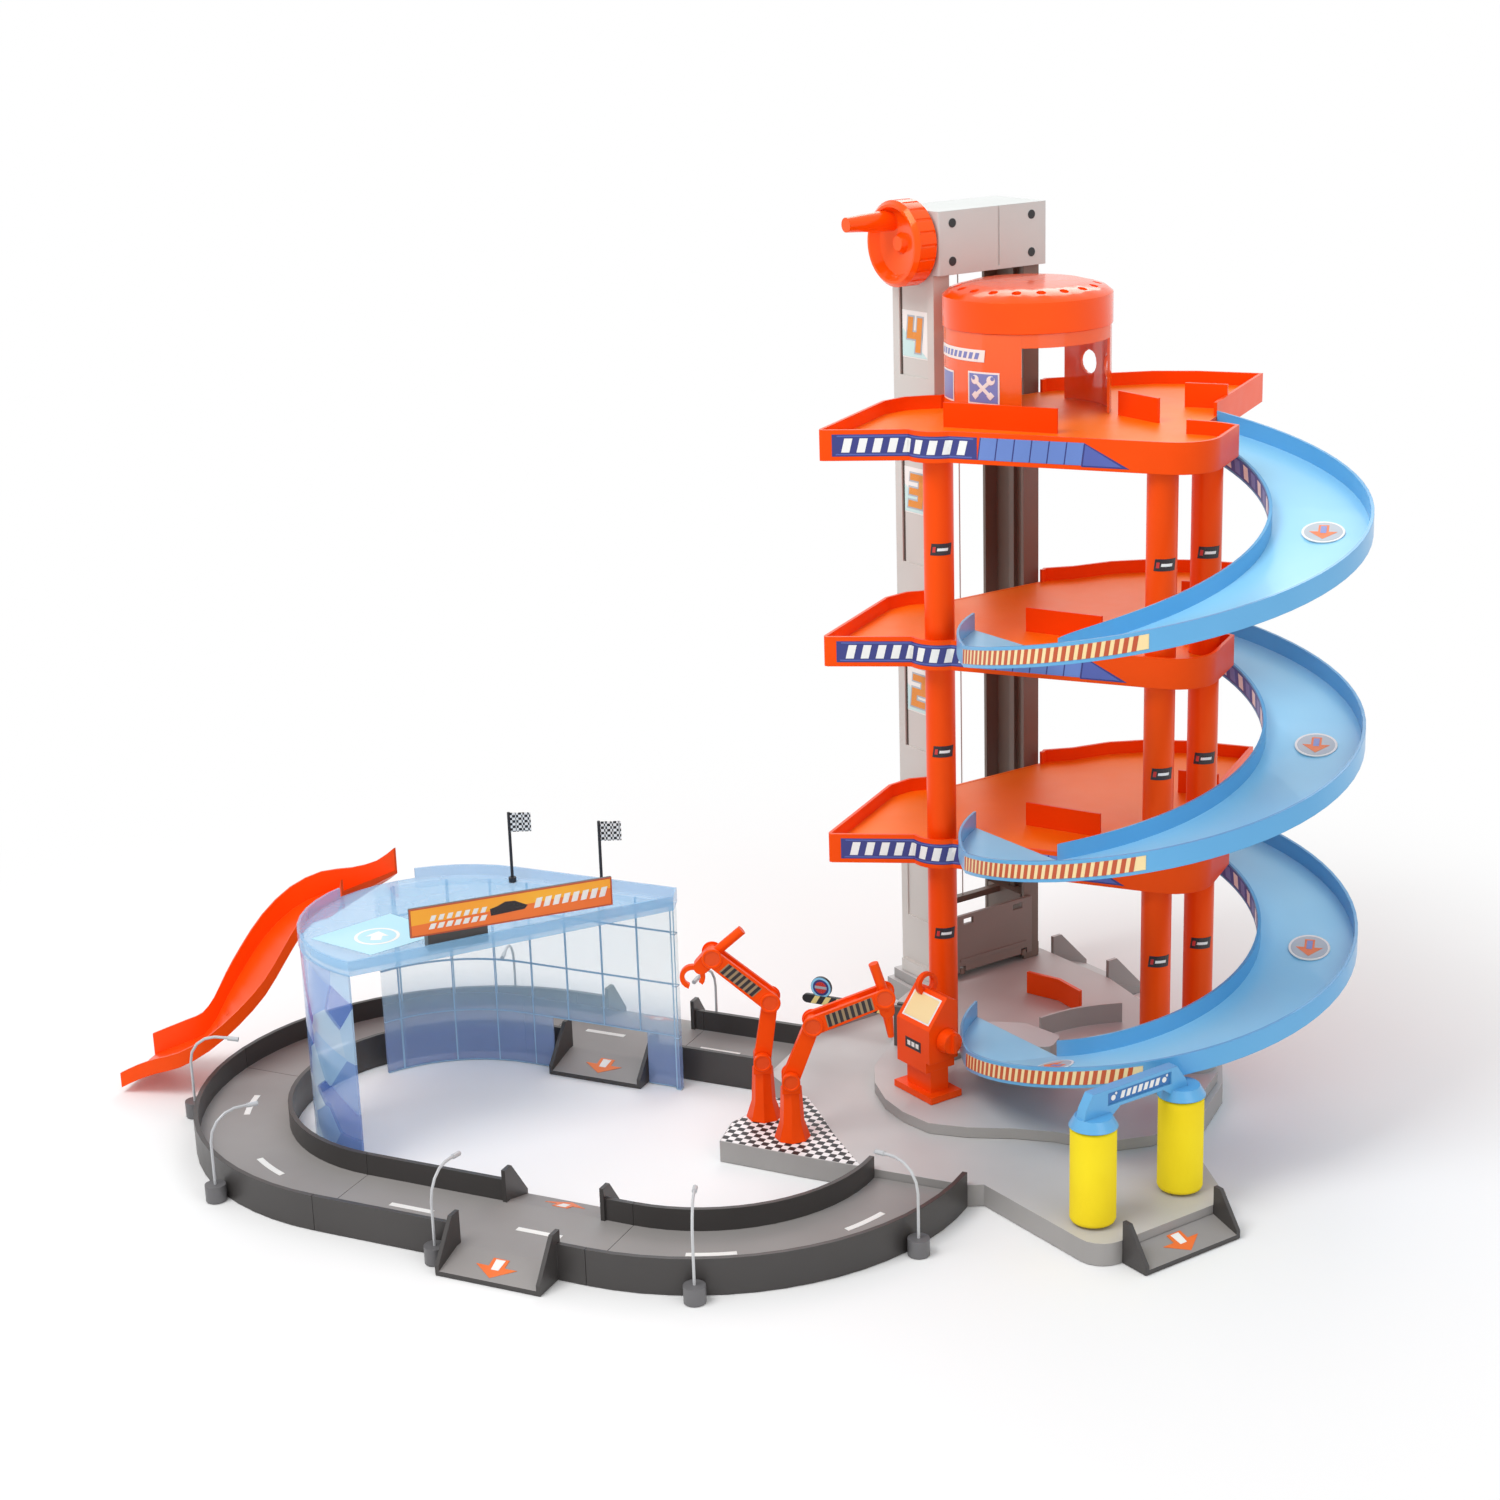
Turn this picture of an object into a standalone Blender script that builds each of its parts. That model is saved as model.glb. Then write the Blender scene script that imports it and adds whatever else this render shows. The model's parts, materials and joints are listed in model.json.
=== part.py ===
"""Toy parking garage: hand-cranked lift tower, three floors, spiral ramps, road loop, showroom, car wash.

Units are metres, +Z is up. The origin is on the ground under the front left column.
+X runs along the road loop's straights, and the lift tower stands turned against it.
"""

import math

import bmesh
import bpy
from mathutils import Matrix, Vector

for old in list(bpy.data.objects):
    bpy.data.objects.remove(old, do_unlink=True)

# Driving sizes: general
GAP = 0.0003
SLACK = 0.0015
WALL = 0.0025

# Driving sizes: base
PLATE_T = 0.016
PLATFORM_T = 0.008
CURB_T = 0.0025

EXIT_END = 0.156

# Driving sizes: floors
STOREY = 0.150
FLOOR_1 = 0.203
SKIRT = 0.022
CURB = 0.010
DECK_T = 0.003
FRONT_Y = -0.017
RIGHT_X = 0.200
LANE_X = 0.163
REAR_Y = 0.274
LEFT_X = -0.077
BARRIER_H = 0.018
BARRIER_T = 0.0022

# Driving sizes: columns
COLUMN_R = 0.0108
COLUMN_BORE_R = 0.0085
COLUMN_3 = (0.182, 0.045)

# Driving sizes: spiral ramps, turned about the second column
RAMP_OUT = 0.141
RAMP_IN = 0.0715
RAMP_WALL_H = 0.015
RAMP_START_DROP = 0.021
RAMP_TURN = 235.0
RAMP_TAIL = 38.0

# Driving sizes: lift tower, in its own frame along its front
TOWER_AT = (-0.050, 0.126)
TOWER_TURN = 59.0
TOWER_W = 0.102
TOWER_D = 0.050
POST_W = 0.015
POST_T = 0.003
HOUSING_H = 0.047
HOUSING_Z = 0.591
HOUSING_OUT = 0.001
HOUSING_FRONT = 0.008
HOUSING_BACK = 0.003
SLOT_DEPTH = 0.0065

# Driving sizes: crank and lift
CRANK_Y = 0.022
CRANK_R = 0.032
CRANK_T = 0.020
SHAFT_R = 0.003
SPOOL_R = 0.012
PEG_LONG = 0.033
PEG_OFFSET = (0.011, 0.016)
CAGE_FLOOR_T = 0.003
CAGE_H = 0.050
FLAP_H = 0.050
FLAP_T = 0.003
FLAP_SIDE = 0.0105
CORD_R = 0.0006

# Driving sizes: control booth on the top floor
BOOTH_R = 0.0625
BOOTH_ALONG = 0.0375
BOOTH_TALL = 0.0955
BOOTH_BAND = 0.022
BOOTH_WALL = 0.002

# Driving sizes: road loop
ROAD_OUT = 0.193
ROAD_IN = 0.121
ROAD_T = 0.010
ROAD_RIM = 0.026
ROAD_WALL = 0.0035
LOOP_LEFT = (-0.318, -0.183)
LOOP_RIGHT = (-0.1075, -0.183)
TEE_BACK_X = -0.205
PLATE_LEFT_X = -0.1175
EXIT_W = 0.078
EXIT_OUT = 0.024
FRONT_EXIT_X = -0.168
BACK_EXIT_X = -0.252
SHOW_EXIT_OUT = 0.029
DOOR_H = 0.042

# Driving sizes: lamps
LAMP_H = 0.064
LAMP_REACH = 0.032
LAMP_R = 0.0011
LAMP_FOOT_R = 0.0075

# Driving sizes: showroom and slide
SHOW_R = 0.107
SHOW_ROOF_Z = 0.154
SHOW_ROOF_T = 0.003
SHOW_CURB = 0.008
SHOW_GLASS_T = 0.002
SLIDE_W = 0.058
SLIDE_T = 0.003
SLIDE_KERB = 0.009
SLIDE_BANK = 0.018
SLIDE_TURN = 151.26876526
SLIDE_OUT = 0.006583978
# Stations of the slide from its start at the roof's edge: x, y, height and heading
SLIDE_PATH = [
    (0.0, 0.0, 0.1537, 166),
    (-0.0125, 0.0022, 0.1400, 180),
    (-0.0294, 0.0014, 0.1320, 192),
    (-0.0464, -0.0042, 0.1285, 206),
    (-0.0619, -0.0136, 0.1175, 220),
    (-0.0744, -0.0271, 0.0990, 230),
    (-0.0854, -0.0416, 0.0765, 232),
    (-0.0969, -0.0556, 0.0565, 224),
    (-0.1104, -0.0666, 0.0380, 210),
    (-0.1254, -0.0736, 0.0255, 197),
    (-0.1414, -0.0766, 0.0190, 190),
    (-0.1574, -0.0786, 0.0120, 188),
    (-0.1734, -0.0811, 0.0040, 190),
]

# Driving sizes: car wash, in its own frame across the lane
WASH_AT = (0.2005, -0.1685)
ROLLER_R = 0.0155
ROLLER_H = 0.067
ROLLER_SPACING = 0.078
CAP_H = 0.0075
ARCH_H = 0.016
PIN_R = 0.003
PIN_DEPTH = 0.006

# Driving sizes: robots
ROBOT_1 = (-0.090, -0.132)
ROBOT_2 = (-0.057, -0.156)
ROBOT_1_TURN = 205.0
ROBOT_2_TURN = 25.0
ROBOT_BASE_H = 0.046

# Driving sizes: boom barrier
BOOM_AT = (-0.036, 0.006)
BOOM_LONG = 0.083

DECKS = [FLOOR_1 + STOREY * level for level in range(3)]
PLATFORM_Z = PLATE_T + GAP + PLATFORM_T
COLUMN_1 = (0.0, 0.0)
COLUMN_2 = (LANE_X, 0.0)


def collection(name):
    made = bpy.data.collections.new(name)
    bpy.context.scene.collection.children.link(made)
    return made


PARTS = collection("toy_garage")
CUTTERS = collection("cutters")
CUTTERS.hide_render = True


def material(name, colour, roughness, alpha=1.0):
    made = bpy.data.materials.new(name)
    made.use_nodes = True
    shader = made.node_tree.nodes["Principled BSDF"]
    shader.inputs["Base Color"].default_value = (*colour, 1.0)
    shader.inputs["Roughness"].default_value = roughness
    shader.inputs["Alpha"].default_value = alpha
    return made


ORANGE = material("orange_abs", (0.90, 0.13, 0.01), 0.35)
SKY_BLUE = material("sky_blue_abs", (0.12, 0.45, 0.88), 0.35)
WARM_GREY = material("warm_grey_abs", (0.42, 0.38, 0.36), 0.45)
ROAD_GREY = material("road_grey_abs", (0.10, 0.10, 0.10), 0.5)
BASE_GREY = material("base_grey_abs", (0.25, 0.24, 0.24), 0.5)
DARK_GREY = material("dark_grey_abs", (0.08, 0.07, 0.07), 0.5)
CLEAR_BLUE = material("clear_blue_styrene", (0.35, 0.65, 0.95), 0.1, 0.4)
CLEAR_ORANGE = material("clear_orange_styrene", (0.95, 0.30, 0.08), 0.15, 0.7)
YELLOW_FOAM = material("yellow_foam", (0.90, 0.75, 0.02), 0.9)
SILVER = material("silver_lacquer", (0.55, 0.56, 0.58), 0.3)
BLACK = material("black_abs", (0.02, 0.02, 0.02), 0.5)
CORD_WHITE = material("white_cord", (0.8, 0.8, 0.78), 0.8)


def empty(name, at=(0, 0, 0), turn=0.0):
    made = bpy.data.objects.new(name, None)
    made.location = at
    made.rotation_euler = (0, 0, math.radians(turn))
    PARTS.objects.link(made)
    return made


def from_bmesh(name, mesh_data, frame=None):
    """A new cutter-side object holding the bmesh, in the frame of an empty."""
    bmesh.ops.recalc_face_normals(mesh_data, faces=mesh_data.faces)
    mesh = bpy.data.meshes.new(name)
    mesh_data.to_mesh(mesh)
    mesh_data.free()
    made = bpy.data.objects.new(name, mesh)
    CUTTERS.objects.link(made)
    made.hide_render = True
    made.display_type = "WIRE"
    made.parent = frame
    return made


def box(name, low, high, frame=None, turn=0.0, about=(0, 0, 0)):
    data = bmesh.new()
    size = [b - a for a, b in zip(low, high)]
    middle = [(a + b) / 2 for a, b in zip(low, high)]
    bmesh.ops.create_cube(data, size=1.0, matrix=Matrix.Translation(middle) @ Matrix.Diagonal((*size, 1)))
    if turn:
        pivot = Matrix.Translation(about)
        spin = pivot @ Matrix.Rotation(math.radians(turn), 4, "Z") @ pivot.inverted()
        bmesh.ops.transform(data, matrix=spin, verts=data.verts)
    return from_bmesh(name, data, frame)


def rod(name, start, end, radius, frame=None, segments=24, end_radius=None):
    """A cylinder or cone between two points."""
    start, end = Vector(start), Vector(end)
    along = end - start
    turn = along.to_track_quat("Z", "Y").to_matrix().to_4x4()
    data = bmesh.new()
    bmesh.ops.create_cone(
        data,
        cap_ends=True,
        segments=segments,
        radius1=radius,
        radius2=radius if end_radius is None else end_radius,
        depth=along.length,
        matrix=Matrix.Translation((start + end) / 2) @ turn,
    )
    return from_bmesh(name, data, frame)


def curve_mesh(name, curve, at, frame):
    """The curve's evaluated mesh with its caps welded, in place of the curve."""
    guide = bpy.data.objects.new(name + "_curve", curve)
    CUTTERS.objects.link(guide)
    guide.location = at
    bpy.context.view_layer.update()
    graph = bpy.context.evaluated_depsgraph_get()
    mesh = bpy.data.meshes.new_from_object(guide.evaluated_get(graph))
    data = bmesh.new()
    data.from_mesh(mesh)
    bmesh.ops.transform(data, matrix=guide.matrix_world, verts=data.verts)
    bmesh.ops.remove_doubles(data, verts=data.verts, dist=0.00001)
    bpy.data.meshes.remove(mesh)
    bpy.data.objects.remove(guide, do_unlink=True)
    return from_bmesh(name, data, frame)


def slab(name, outline, low, high, frame=None):
    """A flat outline, filled and extruded from one height to another."""
    curve = bpy.data.curves.new(name, "CURVE")
    curve.dimensions = "2D"
    curve.fill_mode = "BOTH"
    curve.extrude = (high - low) / 2
    spline = curve.splines.new("POLY")
    spline.points.add(len(outline) - 1)
    for point, (x, y) in zip(spline.points, outline):
        point.co = (x, y, 0, 1)
    spline.use_cyclic_u = True
    return curve_mesh(name, curve, (0, 0, (low + high) / 2), frame)


def side_slab(name, outline, near, far, frame=None):
    """A side outline in X and Z, extruded along Y."""
    made = slab(name, outline, -far, -near)
    stand = Matrix.Rotation(math.radians(90), 4, "X")
    made.data.transform(stand)
    made.parent = frame
    return made


def wire(name, points, radius, frame=None, sides=2):
    curve = bpy.data.curves.new(name, "CURVE")
    curve.dimensions = "3D"
    curve.bevel_depth = radius
    curve.bevel_resolution = sides
    curve.use_fill_caps = True
    spline = curve.splines.new("POLY")
    spline.points.add(len(points) - 1)
    for point, place in zip(spline.points, points):
        point.co = (*place, 1)
    return curve_mesh(name, curve, (0, 0, 0), frame)


def turned(name, profile, steps, frame=None, at=(0, 0, 0)):
    """A profile of radius and height pairs, from the axis round to the axis, turned a full circle."""
    mesh = bpy.data.meshes.new(name)
    places = [(radius, 0, height) for radius, height in profile]
    mesh.from_pydata(places, [(i, i + 1) for i in range(len(places) - 1)], [])
    made = bpy.data.objects.new(name, mesh)
    CUTTERS.objects.link(made)
    made.location = at
    screw = made.modifiers.new("turn", "SCREW")
    screw.steps = steps
    screw.render_steps = steps
    screw.use_merge_vertices = True
    screw.merge_threshold = 0.00001
    made.parent = frame
    return made


def swept(name, profile, centre, start, turn, steps, fall=0.0):
    """A closed profile of radius and height pairs, swept about a vertical axis and falling as it turns."""
    data = bmesh.new()
    axis = Vector((*centre, 0))
    heading = Matrix.Rotation(math.radians(start), 3, "Z")
    ring = [data.verts.new(axis + heading @ Vector((radius, 0, height))) for radius, height in profile]
    face = data.faces.new(ring)
    bmesh.ops.spin(
        data,
        geom=[face, *face.edges, *face.verts],
        cent=axis,
        axis=(0, 0, 1),
        dvec=(0, 0, -fall / steps),
        angle=math.radians(turn),
        steps=steps,
    )
    return from_bmesh(name, data)


def lofted(name, rings, frame=None):
    """A closed skin through rings of points, capped at both ends."""
    data = bmesh.new()
    made = [[data.verts.new(place) for place in ring] for ring in rings]
    for one, two in zip(made, made[1:]):
        for i in range(len(one)):
            j = (i + 1) % len(one)
            data.faces.new((one[i], one[j], two[j], two[i]))
    data.faces.new(made[0])
    data.faces.new(made[-1])
    return from_bmesh(name, data, frame)


def boolean(target, other, operation):
    step = target.modifiers.new(other.name, "BOOLEAN")
    step.operation = operation
    step.solver = "EXACT"
    step.object = other
    return target


def cut(target, *others):
    for other in others:
        boolean(target, other, "DIFFERENCE")
    return target


def join(target, *others):
    for other in others:
        boolean(target, other, "UNION")
    return target


def part(made, name, finish, pivot=None):
    """Moves an object among the parts, with its origin on its joint's axis where it has one."""
    made.name = name
    CUTTERS.objects.unlink(made)
    PARTS.objects.link(made)
    made.hide_render = False
    made.display_type = "TEXTURED"
    made.data.materials.append(finish)
    if pivot is not None:
        made.data.transform(Matrix.Translation(-Vector(pivot)))
        made.location = pivot
    made.data.shade_smooth()
    made.data.set_sharp_from_angle(angle=math.radians(35))
    return made


def arc(centre, radius, start, end, count):
    """Points on an arc, in degrees, ends included."""
    angles = [math.radians(start + (end - start) * i / count) for i in range(count + 1)]
    return [(centre[0] + radius * math.cos(a), centre[1] + radius * math.sin(a)) for a in angles]


def inset(outline, distance):
    """The outline moved inwards, with its corners mitred."""
    area = sum(a[0] * b[1] - b[0] * a[1] for a, b in zip(outline, outline[1:] + outline[:1]))
    side = math.copysign(1.0, area)
    moved = []
    for before, here, after in zip(outline[-1:] + outline[:-1], outline, outline[1:] + outline[:1]):
        before, here, after = Vector(before), Vector(here), Vector(after)
        one, two = (here - before).normalized(), (after - here).normalized()
        normal_one = Vector((-one.y, one.x)) * side
        normal_two = Vector((-two.y, two.x)) * side
        bisector = (normal_one + normal_two).normalized()
        moved.append(tuple(here + bisector * distance / max(0.4, bisector.dot(normal_one))))
    return moved


def rounded(corners, radius, count=4):
    """The outline with each corner cut to an arc."""
    points = []
    for before, here, after in zip(corners[-1:] + corners[:-1], corners, corners[1:] + corners[:1]):
        here = Vector(here)
        one, two = (Vector(before) - here).normalized(), (Vector(after) - here).normalized()
        half = one.angle(two) / 2
        reach = min(radius / math.tan(half), (Vector(before) - here).length / 2.05, (Vector(after) - here).length / 2.05)
        small = reach * math.tan(half)
        centre = here + (one + two).normalized() * small / math.sin(half)
        first, last = here + one * reach - centre, here + two * reach - centre
        for i in range(count + 1):
            points.append(tuple(centre + first.slerp(last, i / count).normalized() * first.length))
    return points


# Frames of the groups that stand turned
TOWER = empty("tower_frame", (*TOWER_AT, 0), TOWER_TURN)
WASH = empty("wash_frame", (*WASH_AT, 0), TOWER_TURN)
bpy.context.view_layer.update()


def in_tower(along, depth):
    """Plan position of a point given along the tower's front and back from it."""
    place = TOWER.matrix_world @ Vector((along, depth, 0))
    return (place.x, place.y)


def in_wash(across, back):
    place = WASH.matrix_world @ Vector((across, back, 0))
    return (place.x, place.y)


def base_plate():
    """The low plate: robot corner, apron and car wash arm in one moulding, flat underneath."""
    front = LOOP_RIGHT[1] + GAP
    outline = [
        (PLATE_LEFT_X + GAP / 2, 0.016),
        (PLATE_LEFT_X + GAP / 2, -0.062),
        (-0.088, -0.085),
        (-0.108, -0.150),
        (-0.103, front + 0.002),
        (-0.040, front),
        (LOOP_RIGHT[0] + ROAD_OUT, front),
        in_wash(-0.062, 0.085),
        *arc(in_wash(-0.044, -0.014), 0.018, TOWER_TURN + 180, TOWER_TURN + 270, 5),
        *arc(in_wash(0.044, -0.014), 0.018, TOWER_TURN + 270, TOWER_TURN + 360, 5),
        (0.205, -0.060),
        (0.204, 0.040),
        (0.190, 0.090),
        in_tower(0.118, -0.078),
        in_tower(0.120, -0.068),
        in_tower(EXIT_END, -0.068),
        in_tower(EXIT_END, 0.004),
        in_tower(0.120, 0.004),
        in_tower(0.112, 0.056),
        in_tower(-0.010, 0.058),
        in_tower(-0.012, 0.020),
        (-0.075, 0.090),
    ]
    plate = slab("plate", outline, 0, PLATE_T)
    rear_curb = slab("rear_curb", [(-0.1165, 0.0125), (-0.1165, 0.015), (-0.0765, 0.0865), (-0.0740, 0.0855)], 0.002, 0.030)
    start = 0.122
    slope = [(start, PLATE_T), (start, 0.05), (EXIT_END + 0.001, 0.05), (EXIT_END + 0.001, 0.003)]
    cut(plate, side_slab("rear_slope", slope, -0.075, 0.010, TOWER))
    fin = [(start - 0.003, 0.002), (EXIT_END - 0.0005, 0.002), (EXIT_END - 0.0005, 0.007), (start + 0.006, 0.036), (start - 0.003, 0.036)]
    join(plate, rear_curb)
    for across in (-ROLLER_SPACING / 2, ROLLER_SPACING / 2):
        socket = rod("pin_socket", (across, 0, PLATE_T - PIN_DEPTH), (across, 0, PLATE_T + 0.01), PIN_R + GAP, WASH, 16)
        cut(plate, socket)
    for near in (-0.0675, 0.0005):
        join(plate, side_slab("rear_fin", fin, near, near + 0.003, TOWER))
    return part(plate, "base_plate", BASE_GREY)


def platform_outline():
    return [
        (-0.072, 0.070),
        (-0.046, 0.010),
        (-0.041, -0.040),
        (-0.030, -0.066),
        (-0.012, -0.090),
        (0.008, -0.106),
        (0.032, -0.117),
        (0.060, -0.114),
        (0.091, -0.104),
        (0.120, -0.099),
        (0.160, -0.100),
        (0.186, -0.080),
        (0.199, -0.050),
        (0.200, 0.040),
        (0.186, 0.078),
        in_tower(0.114, -0.075),
        in_tower(0.114, 0.008),
        in_tower(0.108, 0.053),
        in_tower(-0.006, 0.054),
        in_tower(-0.008, 0.016),
    ]


def base_platform():
    """The upper round deck that the tower and the columns stand on, with its lane kerb and ramp landing."""
    low = PLATE_T + GAP
    deck = slab("platform", platform_outline(), low, PLATFORM_Z)
    landing_top = FLOOR_1 - STOREY
    landing = [(0.030, -0.018), (0.060, -0.030), (0.092, -0.022), (0.092, 0.000), (0.060, 0.014), (0.034, 0.008)]
    step = slab("ramp_landing", rounded(landing, 0.006, 2), low + 0.002, landing_top)
    kerb = swept("lane_kerb", [(0.1185, low + 0.002), (0.1185 + CURB_T, low + 0.002), (0.1185 + CURB_T, 0.040), (0.1185, 0.040)], COLUMN_2, 118, 34, 8)
    socket = rod("column_socket_2", (*COLUMN_2, low + 0.002), (*COLUMN_2, PLATFORM_Z + 0.005), COLUMN_R + 0.004)
    socket_3 = rod("column_socket_3", (*COLUMN_3, low + 0.002), (*COLUMN_3, PLATFORM_Z + 0.005), COLUMN_R + 0.004)
    socket_1 = rod("column_socket_1", (*COLUMN_1, low + 0.002), (*COLUMN_1, PLATFORM_Z + 0.005), COLUMN_R + 0.004)
    join(deck, step, kerb, socket_1, socket, socket_3)
    for number, (x, y) in enumerate((COLUMN_1, COLUMN_2, COLUMN_3), 1):
        cut(deck, rod(f"column_seat_{number}", (x, y, PLATFORM_Z), (x, y, PLATFORM_Z + 0.05), COLUMN_R + GAP))
    return part(deck, "base_platform", BASE_GREY)


def lane_fence():
    """The orange lane guide that leads away from the lift."""
    low = PLATFORM_Z + GAP
    start = in_tower(0.044, -0.056)
    end = in_tower(0.050, -0.112)
    across = (Vector(end) - Vector(start)).normalized()
    side = Vector((-across.y, across.x)) * 0.0015
    bow = side.normalized() * 0.006
    middle = (Vector(start) + Vector(end)) / 2 + bow
    outline = [
        tuple(Vector(start) + side),
        tuple(middle + side),
        tuple(Vector(end) + side),
        tuple(Vector(end) - side),
        tuple(middle - side),
        tuple(Vector(start) - side),
    ]
    fence = slab("fence", outline, low, low + 0.018)
    return part(fence, "lane_fence", ORANGE)


def floor_outline():
    """Boomerang outline: pointed left tip, bulge round the first column, ramp mouth and rear bay on the right."""
    bulge = 0.0225
    bulge_x = math.sqrt(bulge * bulge - FRONT_Y * FRONT_Y)
    bulge_angle = math.degrees(math.atan2(FRONT_Y, bulge_x))
    corner = 0.030
    inside = RAMP_IN - 0.002
    mouth_angle = math.degrees(math.acos((RIGHT_X - LANE_X) / inside))
    return [
        *rounded([(LEFT_X, -0.036), (LEFT_X + 0.030, -0.026), (LEFT_X, 0.010)], 0.003, 2)[:3],
        *arc(COLUMN_1, bulge, -183 - bulge_angle, bulge_angle, 8),
        *arc((RIGHT_X - corner, FRONT_Y + corner), corner, -90, 0, 8),
        *arc(COLUMN_2, inside, mouth_angle, 90, 4)[:-1],
        (LANE_X - GAP, inside),
        (LANE_X - GAP, REAR_Y),
        (0.112, REAR_Y),
        (0.078, 0.266),
        (0.050, 0.250),
        (0.027, 0.226),
        in_tower(TOWER_W + 0.002, -0.004),
        in_tower(TOWER_W - 0.002, -SLOT_DEPTH),
        in_tower(0.0, -SLOT_DEPTH),
        in_tower(-0.006, -0.002),
        (-0.068, 0.108),
        (LEFT_X, 0.088),
    ]


def barrier(name, start, end, deck):
    start, end = Vector(start), Vector(end)
    side = (end - start).normalized().orthogonal() * BARRIER_T / 2
    outline = [tuple(start + side), tuple(end + side), tuple(end - side), tuple(start - side)]
    return slab(name, outline, deck - CURB - 0.001, deck - CURB + BARRIER_H)


def floor(level):
    """A deck in a fascia: kerbs above it, a hollow below it, bores for the columns and lane barriers."""
    top = DECKS[level]
    outline = floor_outline()
    tray = slab(f"floor_{level + 1}_block", outline, top - SKIRT, top)
    inner = inset(outline, WALL)
    cut(tray, slab("pocket_above", inner, top - CURB, top + 0.01))
    cut(tray, slab("pocket_below", inner, top - SKIRT - 0.01, top - CURB - DECK_T))
    mouth_low = RAMP_IN + 0.001
    sill = top - CURB + 0.0002
    cut(tray, box("mouth", (LANE_X - 0.012, mouth_low, sill), (LANE_X + 0.01, RAMP_OUT - 0.001, top + 0.02)))
    gate = 0.004
    cut(tray, box("gate", (gate, -SLOT_DEPTH - 0.010, sill), (TOWER_W - gate, 0.01, top + 0.02), TOWER))
    for number, (x, y) in enumerate((COLUMN_1, COLUMN_2, COLUMN_3), 1):
        boss = rod(f"boss_{number}", (x, y, top - SKIRT + 0.002), (x, y, top - CURB - 0.001), COLUMN_R + 0.004)
        join(tray, boss)
    for number, (x, y) in enumerate((COLUMN_1, COLUMN_2, COLUMN_3), 1):
        through = level < 2 or number == 2
        bore_top = top + 0.01 if through else top - CURB - DECK_T + 0.001
        bore = rod(f"bore_{number}", (x, y, top - SKIRT - 0.01), (x, y, bore_top), COLUMN_R + GAP)
        cut(tray, bore)
    join(tray, barrier("bay_wall", (0.130, 0.172), (LANE_X - 0.001, 0.172), top))
    if level == 2:
        join(tray, barrier("lane_wall_1", (-0.014, 0.050), (0.073, 0.046), top))
        join(tray, barrier("lane_wall_2", (0.093, 0.128), (0.130, 0.103), top))
    else:
        join(tray, barrier("lane_wall_1", (0.045, 0.060), (0.105, 0.052), top))
    return part(tray, f"floor_{level + 1}", ORANGE)


def column(number, place):
    """A full-height tube with a collar under each floor."""
    x, y = place
    top = DECKS[2] - CURB - DECK_T if number != 2 else DECKS[2] - CURB - 0.004
    tube = rod(f"column_{number}_tube", (x, y, PLATFORM_Z + GAP), (x, y, top), COLUMN_R)
    bore = rod(f"column_{number}_bore", (x, y, top - 0.030), (x, y, top + 0.01), COLUMN_BORE_R)
    cut(tube, bore)
    return part(tube, f"column_{number}", ORANGE)


def ramp(level):
    """A trough that falls one storey round the second column and ends in a closed landing."""
    top = DECKS[2 - level]
    start_low = top - RAMP_START_DROP
    end_low = top - STOREY + GAP
    wall, deck = 0.0022, 0.0025
    profile = [
        (RAMP_IN, start_low),
        (RAMP_OUT, start_low),
        (RAMP_OUT, start_low + RAMP_WALL_H),
        (RAMP_OUT - wall, start_low + RAMP_WALL_H),
        (RAMP_OUT - wall, start_low + deck),
        (RAMP_IN + wall, start_low + deck),
        (RAMP_IN + wall, start_low + RAMP_WALL_H),
        (RAMP_IN, start_low + RAMP_WALL_H),
    ]
    trough = swept(f"ramp_{level}_trough", profile, COLUMN_2, 90, -RAMP_TURN, 44, start_low - end_low)
    end = 90 - RAMP_TURN
    tail = end - RAMP_TAIL
    inner, outer = RAMP_OUT - wall + 0.0002, RAMP_OUT - 0.0002
    low, high = end_low + 0.0004, end_low + RAMP_WALL_H - 0.0003
    rim = [(inner, low), (outer, low), (outer, high), (inner, high)]
    tail_wall = swept("tail_wall", rim, COLUMN_2, end + 1.3, -RAMP_TAIL - 1.3, 8)
    landing = [*arc(COLUMN_2, RAMP_OUT - wall / 2, end + 1, tail, 8)]
    landing += arc(COLUMN_2, RAMP_IN + wall / 2, end, end + 1, 1)
    plate = slab("landing", landing, end_low + 0.0003, end_low + deck - 0.0003)
    join(trough, tail_wall, plate)
    return part(trough, f"ramp_{3 - level}", SKY_BLUE)


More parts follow.
